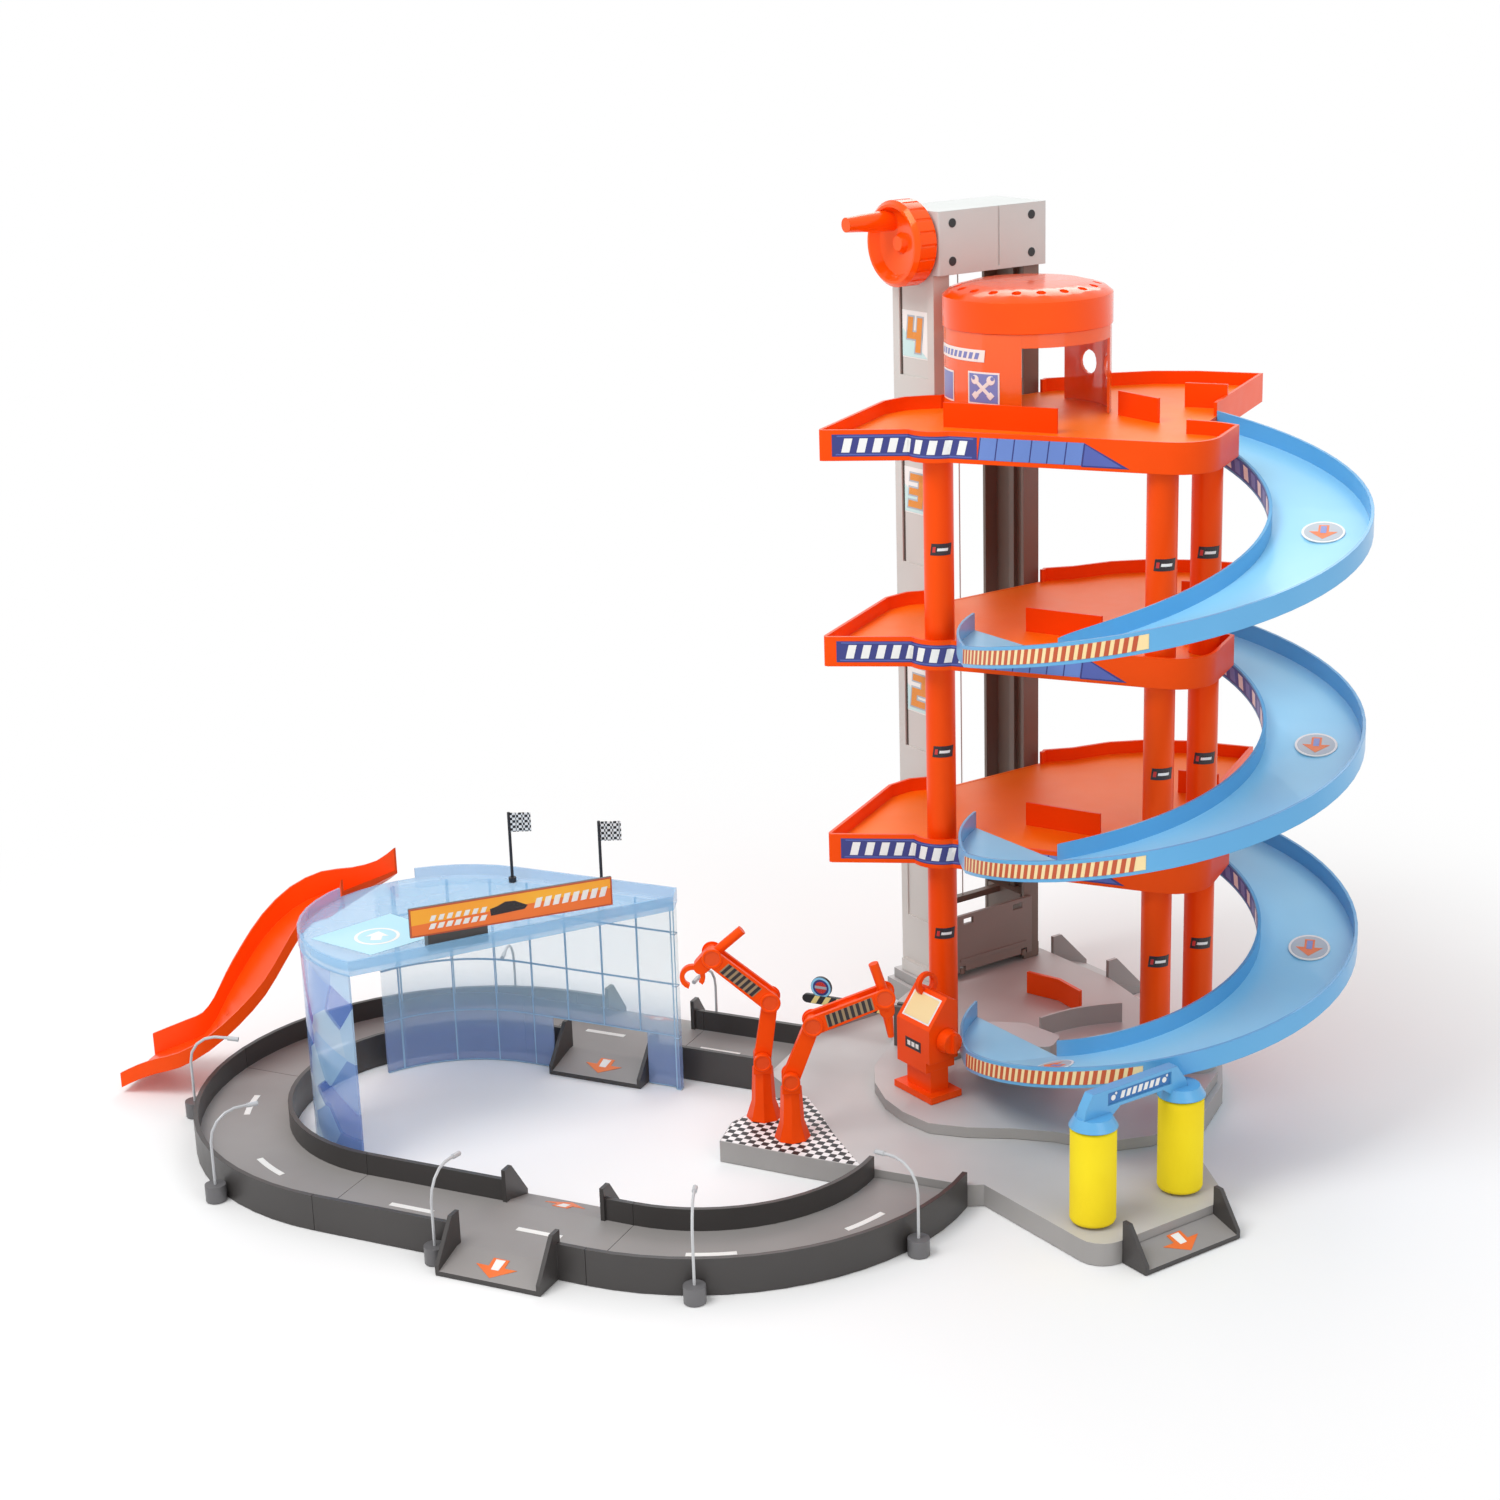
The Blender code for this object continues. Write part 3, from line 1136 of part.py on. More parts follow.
def robot(number, place, turn, points, tool):
    """A robot arm: flared base, lower arm, upper arm with a slotted panel, and a wrist with its peg handle."""
    frame = empty(f"robot_{number}_frame", (*place, 0), turn)
    low = PLATE_T + GAP
    shoulder, elbow, wrist = points
    pillar = rod("pillar", (0, 0, low), (0, 0, low + 0.014), 0.013, frame, 8, 0.0085)
    join(pillar, rod("pillar_top", (0, 0, low + 0.013), (0, 0, shoulder[1] - 0.0065), 0.0088, frame, 8, 0.0075))
    for near in (-0.0085, 0.0045):
        cheek = arc(shoulder, 0.0065, 0, 180, 6) + [(-0.0065, shoulder[1] - 0.009), (0.0065, shoulder[1] - 0.009)]
        join(pillar, side_slab("cheek", cheek, near, near + 0.004, frame))
    part(pillar, f"robot_{number}_base", ORANGE, (0, 0, 0))

    lower = limb("lower", shoulder, elbow, 0.0062, 0.0075, frame)
    part(lower, f"robot_{number}_lower_arm", ORANGE, (shoulder[0], 0, shoulder[1]))

    upper = limb("upper_left", elbow, wrist, 0.0068, 0.003, frame)
    upper.data.transform(Matrix.Translation((0, 0.0056, 0)))
    other = limb("upper_right", elbow, wrist, 0.0068, 0.003, frame)
    other.data.transform(Matrix.Translation((0, -0.0056, 0)))
    reach = Vector(wrist) - Vector(elbow)
    mid_1 = Vector(elbow) + reach * 0.42
    mid_2 = Vector(elbow) + reach * 0.62
    bridge = limb("upper_bridge", mid_1, mid_2, 0.0045, 0.012, frame)
    join(upper, other, bridge)
    part(upper, f"robot_{number}_upper_arm", ORANGE, (elbow[0], 0, elbow[1]))

    hand = limb("hand", wrist, tool["hand"], 0.0060, 0.0075, frame)
    join(hand, rod("handle", (wrist[0], 0, wrist[1]), (*[tool["peg"][0]], 0, tool["peg"][1]), 0.0036, frame, 12))
    if tool["kind"] == "claw":
        cx, cz = tool["hook"]
        ring = arc((cx, cz), 0.0092, tool["open"], tool["open"] + 290, 16)
        ring += arc((cx, cz), 0.0058, tool["open"] + 290, tool["open"], 16)
        join(hand, side_slab("claw", ring, -0.002, 0.002, frame))
    else:
        hx, hz = tool["hand"]
        join(hand, rod("nozzle", (hx, 0, hz), (*[tool["tip"][0]], 0, tool["tip"][1]), 0.0042, frame, 12, 0.0022))
    part(hand, f"robot_{number}_hand", ORANGE, (wrist[0], 0, wrist[1]))


def robots():
    top = PLATE_T + ROBOT_BASE_H
    one = ((0.0, top), (-0.007, top + 0.0455), (0.0335, top + 0.081))
    robot(1, ROBOT_1, ROBOT_1_TURN, one, {
        "kind": "claw",
        "hand": (0.0415, top + 0.073),
        "peg": (0.0115, top + 0.0995),
        "hook": (0.0480, top + 0.065),
        "open": -70,
    })
    two = ((0.0, top), (0.0165, top + 0.0415), (0.0675, top + 0.061))
    robot(2, ROBOT_2, ROBOT_2_TURN, two, {
        "kind": "nozzle",
        "hand": (0.0690, top + 0.0500),
        "peg": (0.0600, top + 0.0850),
        "tip": (0.0715, top + 0.0290),
    })


def console():
    """The service console: slanted screen head on a neck and foot, with a ring and a round knob."""
    frame = empty("console_frame", (0.012, -0.066, 0), TOWER_TURN)
    low = PLATFORM_Z + GAP
    foot = box("console_foot", (-0.014, -0.022, low), (0.014, 0.022, low + 0.005), frame)
    cut(foot, rod("console_notch", (0.0, 0.0, low - 0.01), (0.0, 0.0, low + 0.0005), 0.003, frame, 12))
    neck = box("console_neck", (-0.008, -0.014, low + 0.004), (0.008, 0.014, low + 0.024), frame)
    head = [
        (-0.013, low + 0.022),
        (0.013, low + 0.022),
        (0.013, low + 0.074),
        (0.004, low + 0.078),
        (-0.013, low + 0.056),
    ]
    body = side_slab("console_head", head, -0.019, 0.019, frame)
    cut(body, box("head_bevel", (-0.03, -0.03, low + 0.010), (0.03, -0.019 + 0.004, low + 0.030), frame))
    ring = arc((0.006, low + 0.080), 0.009, 0, 360, 20)[:-1]
    loop = side_slab("console_ring", ring, 0.006, 0.010, frame)
    cut(loop, rod("ring_hole", (0.006, 0.0, low + 0.081), (0.006, 0.02, low + 0.081), 0.0055, frame, 16))
    join(foot, neck, body, loop)
    cut(foot, rod("knob_bore", (0.002, -0.012, low + 0.046), (0.002, -0.030, low + 0.046), 0.0033, frame, 16))
    part(foot, "console_body", ORANGE)
    knob = rod("knob_disc", (0.002, -0.0195, low + 0.046), (0.002, -0.028, low + 0.046), 0.009, frame, 24, 0.008)
    join(knob, rod("knob_stem", (0.002, -0.0125, low + 0.046), (0.002, -0.021, low + 0.046), 0.003, frame, 16))
    join(knob, box("knob_grip", (0.0005, -0.0305, low + 0.039), (0.0035, -0.027, low + 0.053), frame))
    part(knob, "console_knob", ORANGE, (0.002, -0.0195, low + 0.046))


def boom():
    """The boom barrier: a slotted post, and the arm on its pivot with a round badge near its free end."""
    frame = empty("boom_frame", (*BOOM_AT, 0), 179)
    low = PLATFORM_Z + GAP
    pivot_z = low + 0.026
    stand = box("boom_stand", (-0.005, -0.005, low), (0.005, 0.005, low + 0.032), frame)
    cut(stand, box("boom_slot", (-0.010, -0.0018, low + 0.014), (0.010, 0.0018, low + 0.05), frame))
    part(stand, "barrier_post", DARK_GREY)
    outline = [(-0.004, pivot_z - 0.0035), *[(x + BOOM_LONG - 0.0035, z + pivot_z) for x, z in arc((0, 0), 0.0035, -90, 90, 6)]]
    outline.append((-0.004, pivot_z + 0.0035))
    arm = side_slab("boom_arm", outline, -0.0014, 0.0014, frame)
    at = BOOM_LONG - 0.016
    badge = rod("boom_badge", (at, -0.0012, pivot_z + 0.0105), (at, 0.0012, pivot_z + 0.0105), 0.0085, frame, 24)
    join(arm, badge)
    part(arm, "barrier_arm", BLACK, (0, 0, pivot_z))


base_plate()
base_platform()
lane_fence()
for storey in range(3):
    floor(storey)
for turn_number in range(3):
    ramp(turn_number)
for column_number, column_place in enumerate((COLUMN_1, COLUMN_2, COLUMN_3), 1):
    column(column_number, column_place)
post("left")
post("right")
housing()
crank()
lift_cage()
lift_flap()
lift_cord()
booth()
road()
lamps()
showroom()
slide()
wash()
robots()
console()
boom()
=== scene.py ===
"""Looks for the toy parking garage: moulded plastics, stickers, clear panes, foam and small fittings."""

import json
import math

import bmesh
import bpy
from mathutils import Matrix, Vector

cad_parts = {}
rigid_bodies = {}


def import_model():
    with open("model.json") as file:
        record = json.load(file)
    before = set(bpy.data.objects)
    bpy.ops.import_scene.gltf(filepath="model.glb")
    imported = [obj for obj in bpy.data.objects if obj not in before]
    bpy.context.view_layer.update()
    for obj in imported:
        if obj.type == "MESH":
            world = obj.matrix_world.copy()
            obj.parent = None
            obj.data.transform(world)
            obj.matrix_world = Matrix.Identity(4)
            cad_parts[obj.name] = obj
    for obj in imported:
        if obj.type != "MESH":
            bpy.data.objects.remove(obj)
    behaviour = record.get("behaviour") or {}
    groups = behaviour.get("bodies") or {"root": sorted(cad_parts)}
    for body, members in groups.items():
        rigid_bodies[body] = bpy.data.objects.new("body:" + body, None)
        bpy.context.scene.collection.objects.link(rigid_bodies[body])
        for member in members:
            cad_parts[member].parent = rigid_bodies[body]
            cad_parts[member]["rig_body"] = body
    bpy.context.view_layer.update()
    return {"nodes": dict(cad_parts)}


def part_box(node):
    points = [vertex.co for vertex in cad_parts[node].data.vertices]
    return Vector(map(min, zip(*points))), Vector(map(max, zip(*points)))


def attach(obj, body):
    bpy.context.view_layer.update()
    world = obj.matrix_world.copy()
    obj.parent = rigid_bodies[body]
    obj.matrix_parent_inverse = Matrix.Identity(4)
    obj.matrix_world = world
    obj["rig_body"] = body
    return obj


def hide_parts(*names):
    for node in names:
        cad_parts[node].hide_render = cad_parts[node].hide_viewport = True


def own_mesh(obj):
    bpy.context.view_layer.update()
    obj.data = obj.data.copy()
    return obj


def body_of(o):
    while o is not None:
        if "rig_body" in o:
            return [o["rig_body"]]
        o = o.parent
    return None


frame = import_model()

bl_info = {
    "name": "Toy parking garage looks",
    "version": (1, 0, 0),
    "blender": (4, 5, 0),
    "location": "View3D > Sidebar > Garage",
    "description": "Dresses the packed garage with its finishes, stickers and fittings",
    "category": "Object",
}

# Camera, from the photograph
CAMERA_AT = (0.6502, -1.7112, 0.8378)
CAMERA_PITCH = 0.30169
CAMERA_ROLL = -0.033337
VIEW_RIGHT = (0.9051, 0.4252, 0.0)
FOCAL_MM = 63.0

# Where things stand, as in the part's source
STOREY = 0.150
DECKS = (0.203, 0.353, 0.503)
KERB = 0.010
SKIRT = 0.022
DECK_BULGE = 0.0225
PLATE_TOP = 0.016
PLATFORM_TOP = 0.0243
SEAT_GAP = 0.0003
LANE_X = 0.163
RAMP_OUT = 0.141
RAMP_IN = 0.0715
RAMP_FIRST = -145
RAMP_FALL = 0.1287 / 235
TOWER_AT = (-0.050, 0.126)
TOWER_TURN = 59.0
POST_RECESS = 0.0012
BOOTH_R = 0.0615
WASH_AT = (0.2005, -0.1685)
WASH_HALF = 0.039
ROLLER_R = 0.0155
ROLLER_TALL = 0.067
LOOP_LEFT = (-0.318, -0.183)
LOOP_RIGHT = (-0.1075, -0.183)
LANE_MIDDLE = 0.157
LANE_TOP = 0.0100
SHOW_TOP = 0.154
SIGN_TURN = 46.32
BOOM_TURN = 179
ROBOTS = (
    # Number, foot, turn, then elbow and wrist as reach and height
    (1, (-0.090, -0.132), 205.0, (-0.007, 0.1075), (0.0335, 0.143)),
    (2, (-0.057, -0.156), 25.0, (0.0165, 0.1035), (0.0675, 0.123)),
)
SHOULDER = (0, 0.062)

# How far each layer of print stands off its surface, back and front
STUCK = (-0.00002, 0.00014)
PRINT = (0.00010, 0.00024)
OVER = (0.00020, 0.00032)
TOP = (0.00030, 0.00042)
DASH = (-0.00002, 0.00016)


def in_frame(origin, turn, along, depth):
    """A plan point given in a turned frame."""
    c, s = math.cos(math.radians(turn)), math.sin(math.radians(turn))
    return origin[0] + along * c - depth * s, origin[1] + along * s + depth * c


def in_tower(along, depth):
    """A plan point given along and into the tower."""
    return in_frame(TOWER_AT, TOWER_TURN, along, depth)


def in_wash(across, back):
    """A plan point given across and behind the wash arch."""
    return in_frame(WASH_AT, TOWER_TURN, across, back)


def heading(turn):
    """The plan directions ahead and to the left, for a turn in degrees."""
    c, s = math.cos(math.radians(turn)), math.sin(math.radians(turn))
    return Vector((c, s, 0)), Vector((-s, c, 0))


TOWER_AHEAD, TOWER_LEFT = heading(TOWER_TURN)


def linear(hex_colour):
    """sRGB hex to linear RGBA."""
    parts = [int(hex_colour[i:i + 2], 16) / 255 for i in (1, 3, 5)]
    return (*[c / 12.92 if c <= 0.04045 else ((c + 0.055) / 1.055) ** 2.4 for c in parts], 1.0)


def add(tree, kind, sockets=None, **settings):
    """Adds a node; a socket is given a value or another node's output."""
    made = tree.nodes.new(kind)
    for name, value in settings.items():
        setattr(made, name, value)
    for name, value in (sockets or {}).items():
        socket = made.inputs[name]
        if isinstance(value, bpy.types.NodeSocket):
            tree.links.new(value, socket)
        else:
            socket.default_value = value
    return made


def new_material(name, roughness, ior=1.5):
    """A material with its tree, its Principled shader and its object coordinates."""
    made = bpy.data.materials.new(name)
    made.use_nodes = True
    tree = made.node_tree
    shader = tree.nodes["Principled BSDF"]
    shader.inputs["Roughness"].default_value = roughness
    shader.inputs["IOR"].default_value = ior
    return made, tree, shader, add(tree, "ShaderNodeTexCoord").outputs["Object"]


def ramp(tree, source, stops):
    """A colour ramp over a value, with its stops as position and linear colour."""
    tone = add(tree, "ShaderNodeValToRGB", {"Fac": source})
    while len(tone.color_ramp.elements) < len(stops):
        tone.color_ramp.elements.new(0.5)
    for stop, (at, colour) in zip(tone.color_ramp.elements, stops):
        stop.position = at
        stop.color = colour
    return tone.outputs["Color"]


def mapped(tree, value, low, high, start=(0.0, 1.0), way="LINEAR"):
    """A value brought from the range start to the range from low to high."""
    sockets = {"Value": value, "From Min": start[0], "From Max": start[1], "To Min": low, "To Max": high}
    return add(tree, "ShaderNodeMapRange", sockets, interpolation_type=way).outputs["Result"]


def maths(tree, operation, first, second):
    """The result of an operation on two values."""
    return add(tree, "ShaderNodeMath", {0: first, 1: second}, operation=operation).outputs[0]


def moulded(
    name, colour, deeper, roughness, grain_mm=0.6, grain=0.06, edge_mm=0.5, coat=0.0, shine=0.5, glint=None
):
    """Injection-moulded plastic: even colour with a faint flow mark, fine tool grain, softened edges."""
    made, tree, shader, place = new_material(name, roughness, 1.53)
    flow = add(tree, "ShaderNodeTexNoise", {"Vector": place, "Scale": 9.0, "Detail": 3.0})
    tone = ramp(tree, flow.outputs["Fac"], ((0.35, deeper), (0.65, colour)))
    tree.links.new(tone, shader.inputs["Base Color"])
    spread = add(tree, "ShaderNodeTexNoise", {"Vector": place, "Scale": 60.0, "Detail": 2.0})
    matt = mapped(tree, spread.outputs["Fac"], roughness - 0.05, roughness + 0.07)
    tree.links.new(matt, shader.inputs["Roughness"])
    soft = add(tree, "ShaderNodeBevel", {"Radius": edge_mm / 1000}, samples=4)
    fine = add(tree, "ShaderNodeTexNoise", {"Vector": place, "Scale": 1000 / grain_mm, "Detail": 2.0})
    bump = add(tree, "ShaderNodeBump", {
        "Height": fine.outputs["Fac"],
        "Strength": grain,
        "Distance": 0.0002,
        "Normal": soft.outputs["Normal"],
    })
    tree.links.new(bump.outputs["Normal"], shader.inputs["Normal"])
    shader.inputs["Specular IOR Level"].default_value = shine
    shader.inputs["Coat Weight"].default_value = coat
    if glint:
        shader.inputs["Specular Tint"].default_value = linear(glint)
    return made


def clear_plastic(name, colour, alpha, roughness):
    """Tinted clear styrene: a see-through sheet that keeps its gloss."""
    made, tree, shader, place = new_material(name, roughness, 1.59)
    cloud = add(tree, "ShaderNodeTexNoise", {"Vector": place, "Scale": 25.0, "Detail": 2.0})
    tree.links.new(mapped(tree, cloud.outputs["Fac"], alpha - 0.04, alpha + 0.04), shader.inputs["Alpha"])
    soft = add(tree, "ShaderNodeBevel", {"Radius": 0.0004}, samples=4)
    tree.links.new(soft.outputs["Normal"], shader.inputs["Normal"])
    shader.inputs["Base Color"].default_value = linear(colour)
    return made


def chequered(name, dark, light, cell):
    """Two-colour chequer print, in plan or upright alike."""
    made, tree, shader, place = new_material(name, 0.5)
    tones = {"Vector": place, "Scale": 1 / cell, "Color1": linear(dark), "Color2": linear(light)}
    squares = add(tree, "ShaderNodeTexChecker", tones)
    tree.links.new(squares.outputs["Color"], shader.inputs["Base Color"])
    return made


def facet_print(name):
    """Clear styrene printed with blue facets, like folded light."""
    made, tree, shader, place = new_material(name, 0.08, 1.59)
    cells = add(tree, "ShaderNodeTexVoronoi", {"Vector": place, "Scale": 34.0, "Randomness": 0.9})
    shade = add(tree, "ShaderNodeSeparateColor", {"Color": cells.outputs["Color"]})
    stops = ((0.0, "#4F7FD6"), (0.35, "#7FA9E6"), (0.65, "#A9D2F4"), (1.0, "#DCEEFB"))
    tone = ramp(tree, shade.outputs["Red"], [(at, linear(colour)) for at, colour in stops])
    tree.links.new(tone, shader.inputs["Base Color"])
    tree.links.new(mapped(tree, shade.outputs["Green"], 0.42, 0.72), shader.inputs["Alpha"])
    return made


def grid_print(name):
    """Clear styrene with printed window bars, darker towards the ground."""
    made, tree, shader, place = new_material(name, 0.06, 1.59)
    parts = add(tree, "ShaderNodeSeparateXYZ", {"Vector": place})
    lines = []
    for axis, gap in (("X", 0.031), ("Z", 0.042)):
        wave = maths(tree, "FLOORED_MODULO", parts.outputs[axis], gap)
        lines.append(maths(tree, "LESS_THAN", wave, 0.0009))
    bars = maths(tree, "MAXIMUM", *lines)
    depth = mapped(tree, parts.outputs["Z"], 1.0, 0.0, (0.025, 0.080))
    clear = {"Factor": depth, "A": linear("#D3F3FB"), "B": linear("#8CA4D2")}
    tint = add(tree, "ShaderNodeMix", clear, data_type="RGBA")
    barred = {"Factor": bars, "A": tint.outputs[2], "B": linear("#93B6D2")}
    ink = add(tree, "ShaderNodeMix", barred, data_type="RGBA")
    tree.links.new(ink.outputs[2], shader.inputs["Base Color"])
    tree.links.new(maths(tree, "MAXIMUM", mapped(tree, depth, 0.20, 0.56), bars), shader.inputs["Alpha"])
    return made


# Moulded finishes: material name, colour, its deeper tone, roughness, and what differs from the usual
MOULDED = {
    "orange": ("abs_orange", "#FE4E06", "#F74702", 0.34, {"shine": 0.4, "glint": "#FFC48A"}),
    "tray": ("abs_orange_deck", "#FF7E10", "#FB7408", 0.4, {"shine": 0.4, "glint": "#FFC48A"}),
    "gloss": ("abs_orange_gloss", "#FF5608", "#FB4C04", 0.18, {"coat": 0.25, "glint": "#FFC070"}),
    "knuckle_face": ("abs_orange_disc", "#F0500C", "#E84A08", 0.36, {"shine": 0.3}),
    "sky": ("abs_sky_blue", "#62AEE0", "#57A6DA", 0.33, {"coat": 0.25}),
    "sky_lane": ("abs_sky_blue_lane", "#98D9F8", "#8BD0F4", 0.38, {"coat": 0.15}),
    "warm": ("abs_warm_grey", "#D2CFCA", "#CAC6C0", 0.45, {}),
    "housing": ("abs_housing_grey", "#CCD0CE", "#C5C9C7", 0.42, {}),
    # The road's two greys are one plastic: the dark walls are painted shade, the light lane is painted top
    # light
    "road": ("abs_road_grey_painted_shade", "#403D3C", "#3A3736", 0.38, {"grain": 0.15}),
    "road_painted_top_light": ("abs_road_grey_painted_top_light", "#9A9694", "#918D8B", 0.5, {"grain": 0.2}),
    # The base's two greys are one plastic: the lighter upper faces are painted top light
    "base": ("abs_base_grey", "#A5A2A0", "#9C9997", 0.48, {}),
    "base_painted_top_light": ("abs_base_grey_painted_top_light", "#C8C6C5", "#BFBDBC", 0.42, {}),
    "lamp_foot": ("abs_lamp_foot_grey", "#6E6D6F", "#646365", 0.4, {}),
    "dark": ("abs_dark_grey", "#5A5552", "#524D4A", 0.45, {}),
    "brown": ("abs_lift_brown", "#7D6E64", "#74655B", 0.45, {}),
    "flap_brown": ("abs_flap_brown", "#8B7F78", "#81756E", 0.42, {}),
    # Painted shadow: the dark brown of the shadow lines down the post recess
    "painted_shadow_brown": ("painted_recess_shadow", "#4A3B34", "#42342E", 0.5, {}),
    "black": ("abs_black", "#26252A", "#202024", 0.45, {}),
    "silver": ("abs_silver_lacquer", "#C9CBCD", "#BEC0C3", 0.3, {}),
    "foam": ("foam_yellow", "#FFE812", "#F6D800", 0.85, {"grain_mm": 1.2, "grain": 0.6, "edge_mm": 0.8}),
    "cord": ("cord_white", "#E6E4DE", "#D8D5CE", 0.8, {}),
    "steel": ("steel_screw", "#1F1F22", "#18181B", 0.3, {}),
    "tan": ("vinyl_tan", "#A58A68", "#98805F", 0.4, {}),
    "roof_print": ("vinyl_roof_cyan", "#B9E6F4", "#A6DCF0", 0.3, {}),
}

# Printed vinyl: material name, colour and its deeper tone
VINYL = {
    "white": ("vinyl_white", "#F6F5F2", "#EFEEEA"),
    "pale": ("vinyl_pale_cyan", "#CFEDEA", "#BFE3E6"),
    "pale_grey": ("vinyl_pale_grey", "#B9C3CC", "#AEB9C3"),
    "cream": ("vinyl_cream", "#F8E3AE", "#F3D79A"),
    "boom_yellow": ("vinyl_boom_yellow", "#F2E3A0", "#EAD88C"),
    "amber": ("vinyl_amber", "#FDB62B", "#FA9C22"),
    "number_orange": ("vinyl_number_orange", "#F39A32", "#EC8E28"),
    "sign_orange": ("vinyl_orange", "#F47A2C", "#EC6A24"),
    "rust": ("vinyl_rust", "#C8562A", "#BB4C24"),
    "red": ("vinyl_red", "#D8342C", "#C82A26"),
    "ink": ("vinyl_ink", "#2A2126", "#221B20"),
    "navy": ("vinyl_navy", "#343A86", "#2B3178"),
    "violet": ("vinyl_violet_blue", "#5666B4", "#4A59A6"),
    "violet_light": ("vinyl_light_violet", "#8393D2", "#7586C8"),
    "arrow_blue": ("vinyl_arrow_blue", "#6C8ACE", "#6280C4"),
    "deep_blue": ("vinyl_deep_blue", "#2F76B8", "#2A6CAB"),
}
VINYL_ROUGHNESS = 0.35

FINISHES = {}


def finishes():
    """All finishes of the object, made once, with the panel's colours for the main plastics."""
    if FINISHES:
        return FINISHES
    chosen = bpy.context.scene.garage_colours
    rows = {**MOULDED, **{kind: (*row, VINYL_ROUGHNESS, {}) for kind, row in VINYL.items()}}
    for kind, (name, colour, deeper, roughness, special) in rows.items():
        colour, deeper = linear(colour), linear(deeper)
        if hasattr(chosen, kind):
            usual, colour = colour, (*getattr(chosen, kind), 1.0)
            deeper = [low * new / max(old, 0.0001) for low, new, old in zip(deeper, colour, usual)]
        FINISHES[kind] = moulded(name, colour, deeper, roughness, **special)
    FINISHES.update(
        chequer=chequered("printed_chequer_cloth", "#18181A", "#E9E9E9", 0.0021),
        floor_chequer=chequered("printed_chequer_floor", "#1C1C1E", "#F2F2F2", 0.0052),
        glass_print=facet_print("printed_clear_facets"),
        glass_grid=grid_print("printed_clear_grid"),
        glass_blue=clear_plastic("styrene_clear_blue", "#8FC8F0", 0.45, 0.08),
        glass_orange=clear_plastic("styrene_clear_orange", "#FF6A1E", 0.84, 0.12),
    )
    return FINISHES


# Solids with one finish of their own; the rest are orange
NODE_FINISH = {
    "lift_post_left": "warm",
    "lift_post_right": "brown",
    "winch_housing": "housing",
    "winch_shaft": "warm",
    "crank_wheel": "gloss",
    "lift_cage": "brown",
    "lift_flap": "flap_brown",
    "booth_roof": "gloss",
    "booth_wall": "glass_orange",
    "showroom_roof": "glass_blue",
    "showroom_corner_pane": "glass_print",
    "showroom_back_pane": "glass_grid",
    "showroom_sign": "dark",
    "wash_arch": "sky",
    "barrier_post": "dark",
    "barrier_arm": "black",
}


def mesh_of(name, data, kinds=()):
    """Turns a finished bmesh into a mesh with its finishes."""
    mesh = bpy.data.meshes.new(name)
    data.to_mesh(mesh)
    data.free()
    for kind in kinds:
        mesh.materials.append(finishes()[kind])
    return mesh


def placed(name, mesh):
    """A new object in the scene."""
    made = bpy.data.objects.new(name, mesh)
    bpy.context.scene.collection.objects.link(made)
    return made


def evaluated(host):
    """The mesh of a host with its modifiers applied; the host goes."""
    graph = bpy.context.evaluated_depsgraph_get()
    seen = host.evaluated_get(graph)
    mesh = bpy.data.meshes.new_from_object(seen, preserve_all_data_layers=True, depsgraph=graph)
    bpy.data.objects.remove(host, do_unlink=True)
    return mesh


def on_body(name, data, kinds, body="garage"):
    """Turns a finished bmesh into a piece that rides on a body."""
    bmesh.ops.recalc_face_normals(data, faces=data.faces)
    piece = placed(name, mesh_of(name, data, kinds))
    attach(piece, body)
    return piece


def skin(name, kinds, choose=None, sharp=34):
    """A welded, smooth-shaded copy of a solid that stands for it; choose gives each face its finish."""
    node = frame["nodes"][name]
    data = bmesh.new()
    data.from_mesh(node.data)
    data.transform(node.matrix_world)
    bmesh.ops.remove_doubles(data, verts=data.verts, dist=0.00002)
    bmesh.ops.dissolve_degenerate(data, dist=0.000005, edges=data.edges)
    for edge in data.edges:
        edge.smooth = len(edge.link_faces) == 2 and math.degrees(edge.calc_face_angle(0)) < sharp
    for face in data.faces:
        face.smooth = True
        face.material_index = choose(face) if choose else 0
    raw = placed(name + "_raw", mesh_of(name + "_skin", data, kinds))
    even = raw.modifiers.new("even", "WEIGHTED_NORMAL")
    even.keep_sharp = True
    piece = placed(name + "_skin", evaluated(raw))
    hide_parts(name)
    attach(piece, body_of(node)[0])
    return piece


def deck_face(level):
    """Says which faces of a floor are the driving surface inside the kerbs."""
    surface = DECKS[level] - KERB

    def choose(face):
        return 1 if face.normal.z > 0.9 and face.calc_center_median().z < surface + 0.002 else 0
    return choose


def ramp_face(face):
    """Finds the driving surface of a ramp: it looks up and lies inside the walls."""
    middle = face.calc_center_median()
    reach = math.hypot(middle.x - LANE_X, middle.y)
    return 1 if face.normal.z > 0.8 and RAMP_IN + 0.003 < reach < RAMP_OUT - 0.003 else 0


def cloth_face(face):
    """Finds a flag's cloth, which stands off its pole."""
    middle = face.calc_center_median()
    return 1 if middle.z > SHOW_TOP + 0.040 and max(e.calc_length() for e in face.edges) > 0.008 else 0


def road_face(face):
    """Finds the matt lane of a road piece, between its glossier kerbs: its light grey is painted top light.
    """
    return 1 if face.normal.z > 0.8 and face.calc_center_median().z < LANE_TOP + 0.0015 else 0


def base_face(face):
    """Finds the upper faces of the base, which the cars polish; their lighter grey is painted top light."""
    return 1 if face.normal.z > 0.8 else 0


def lamp_face(face):
    """Finds a lamp's foot."""
    return 1 if face.calc_center_median().z < 0.0125 else 0


# Solids dressed alike: how their names start, their two finishes, and what finds the second one's faces
ALIKE = (
    ("ramp_", ("sky", "sky_lane"), ramp_face),
    ("flag_", ("black", "chequer"), cloth_face),
    ("road_", ("road", "road_painted_top_light"), road_face),
    ("wash_exit_tray", ("road", "road_painted_top_light"), road_face),
    ("base_", ("base", "base_painted_top_light"), base_face),
    ("lamp_", ("silver", "lamp_foot"), lamp_face),
)


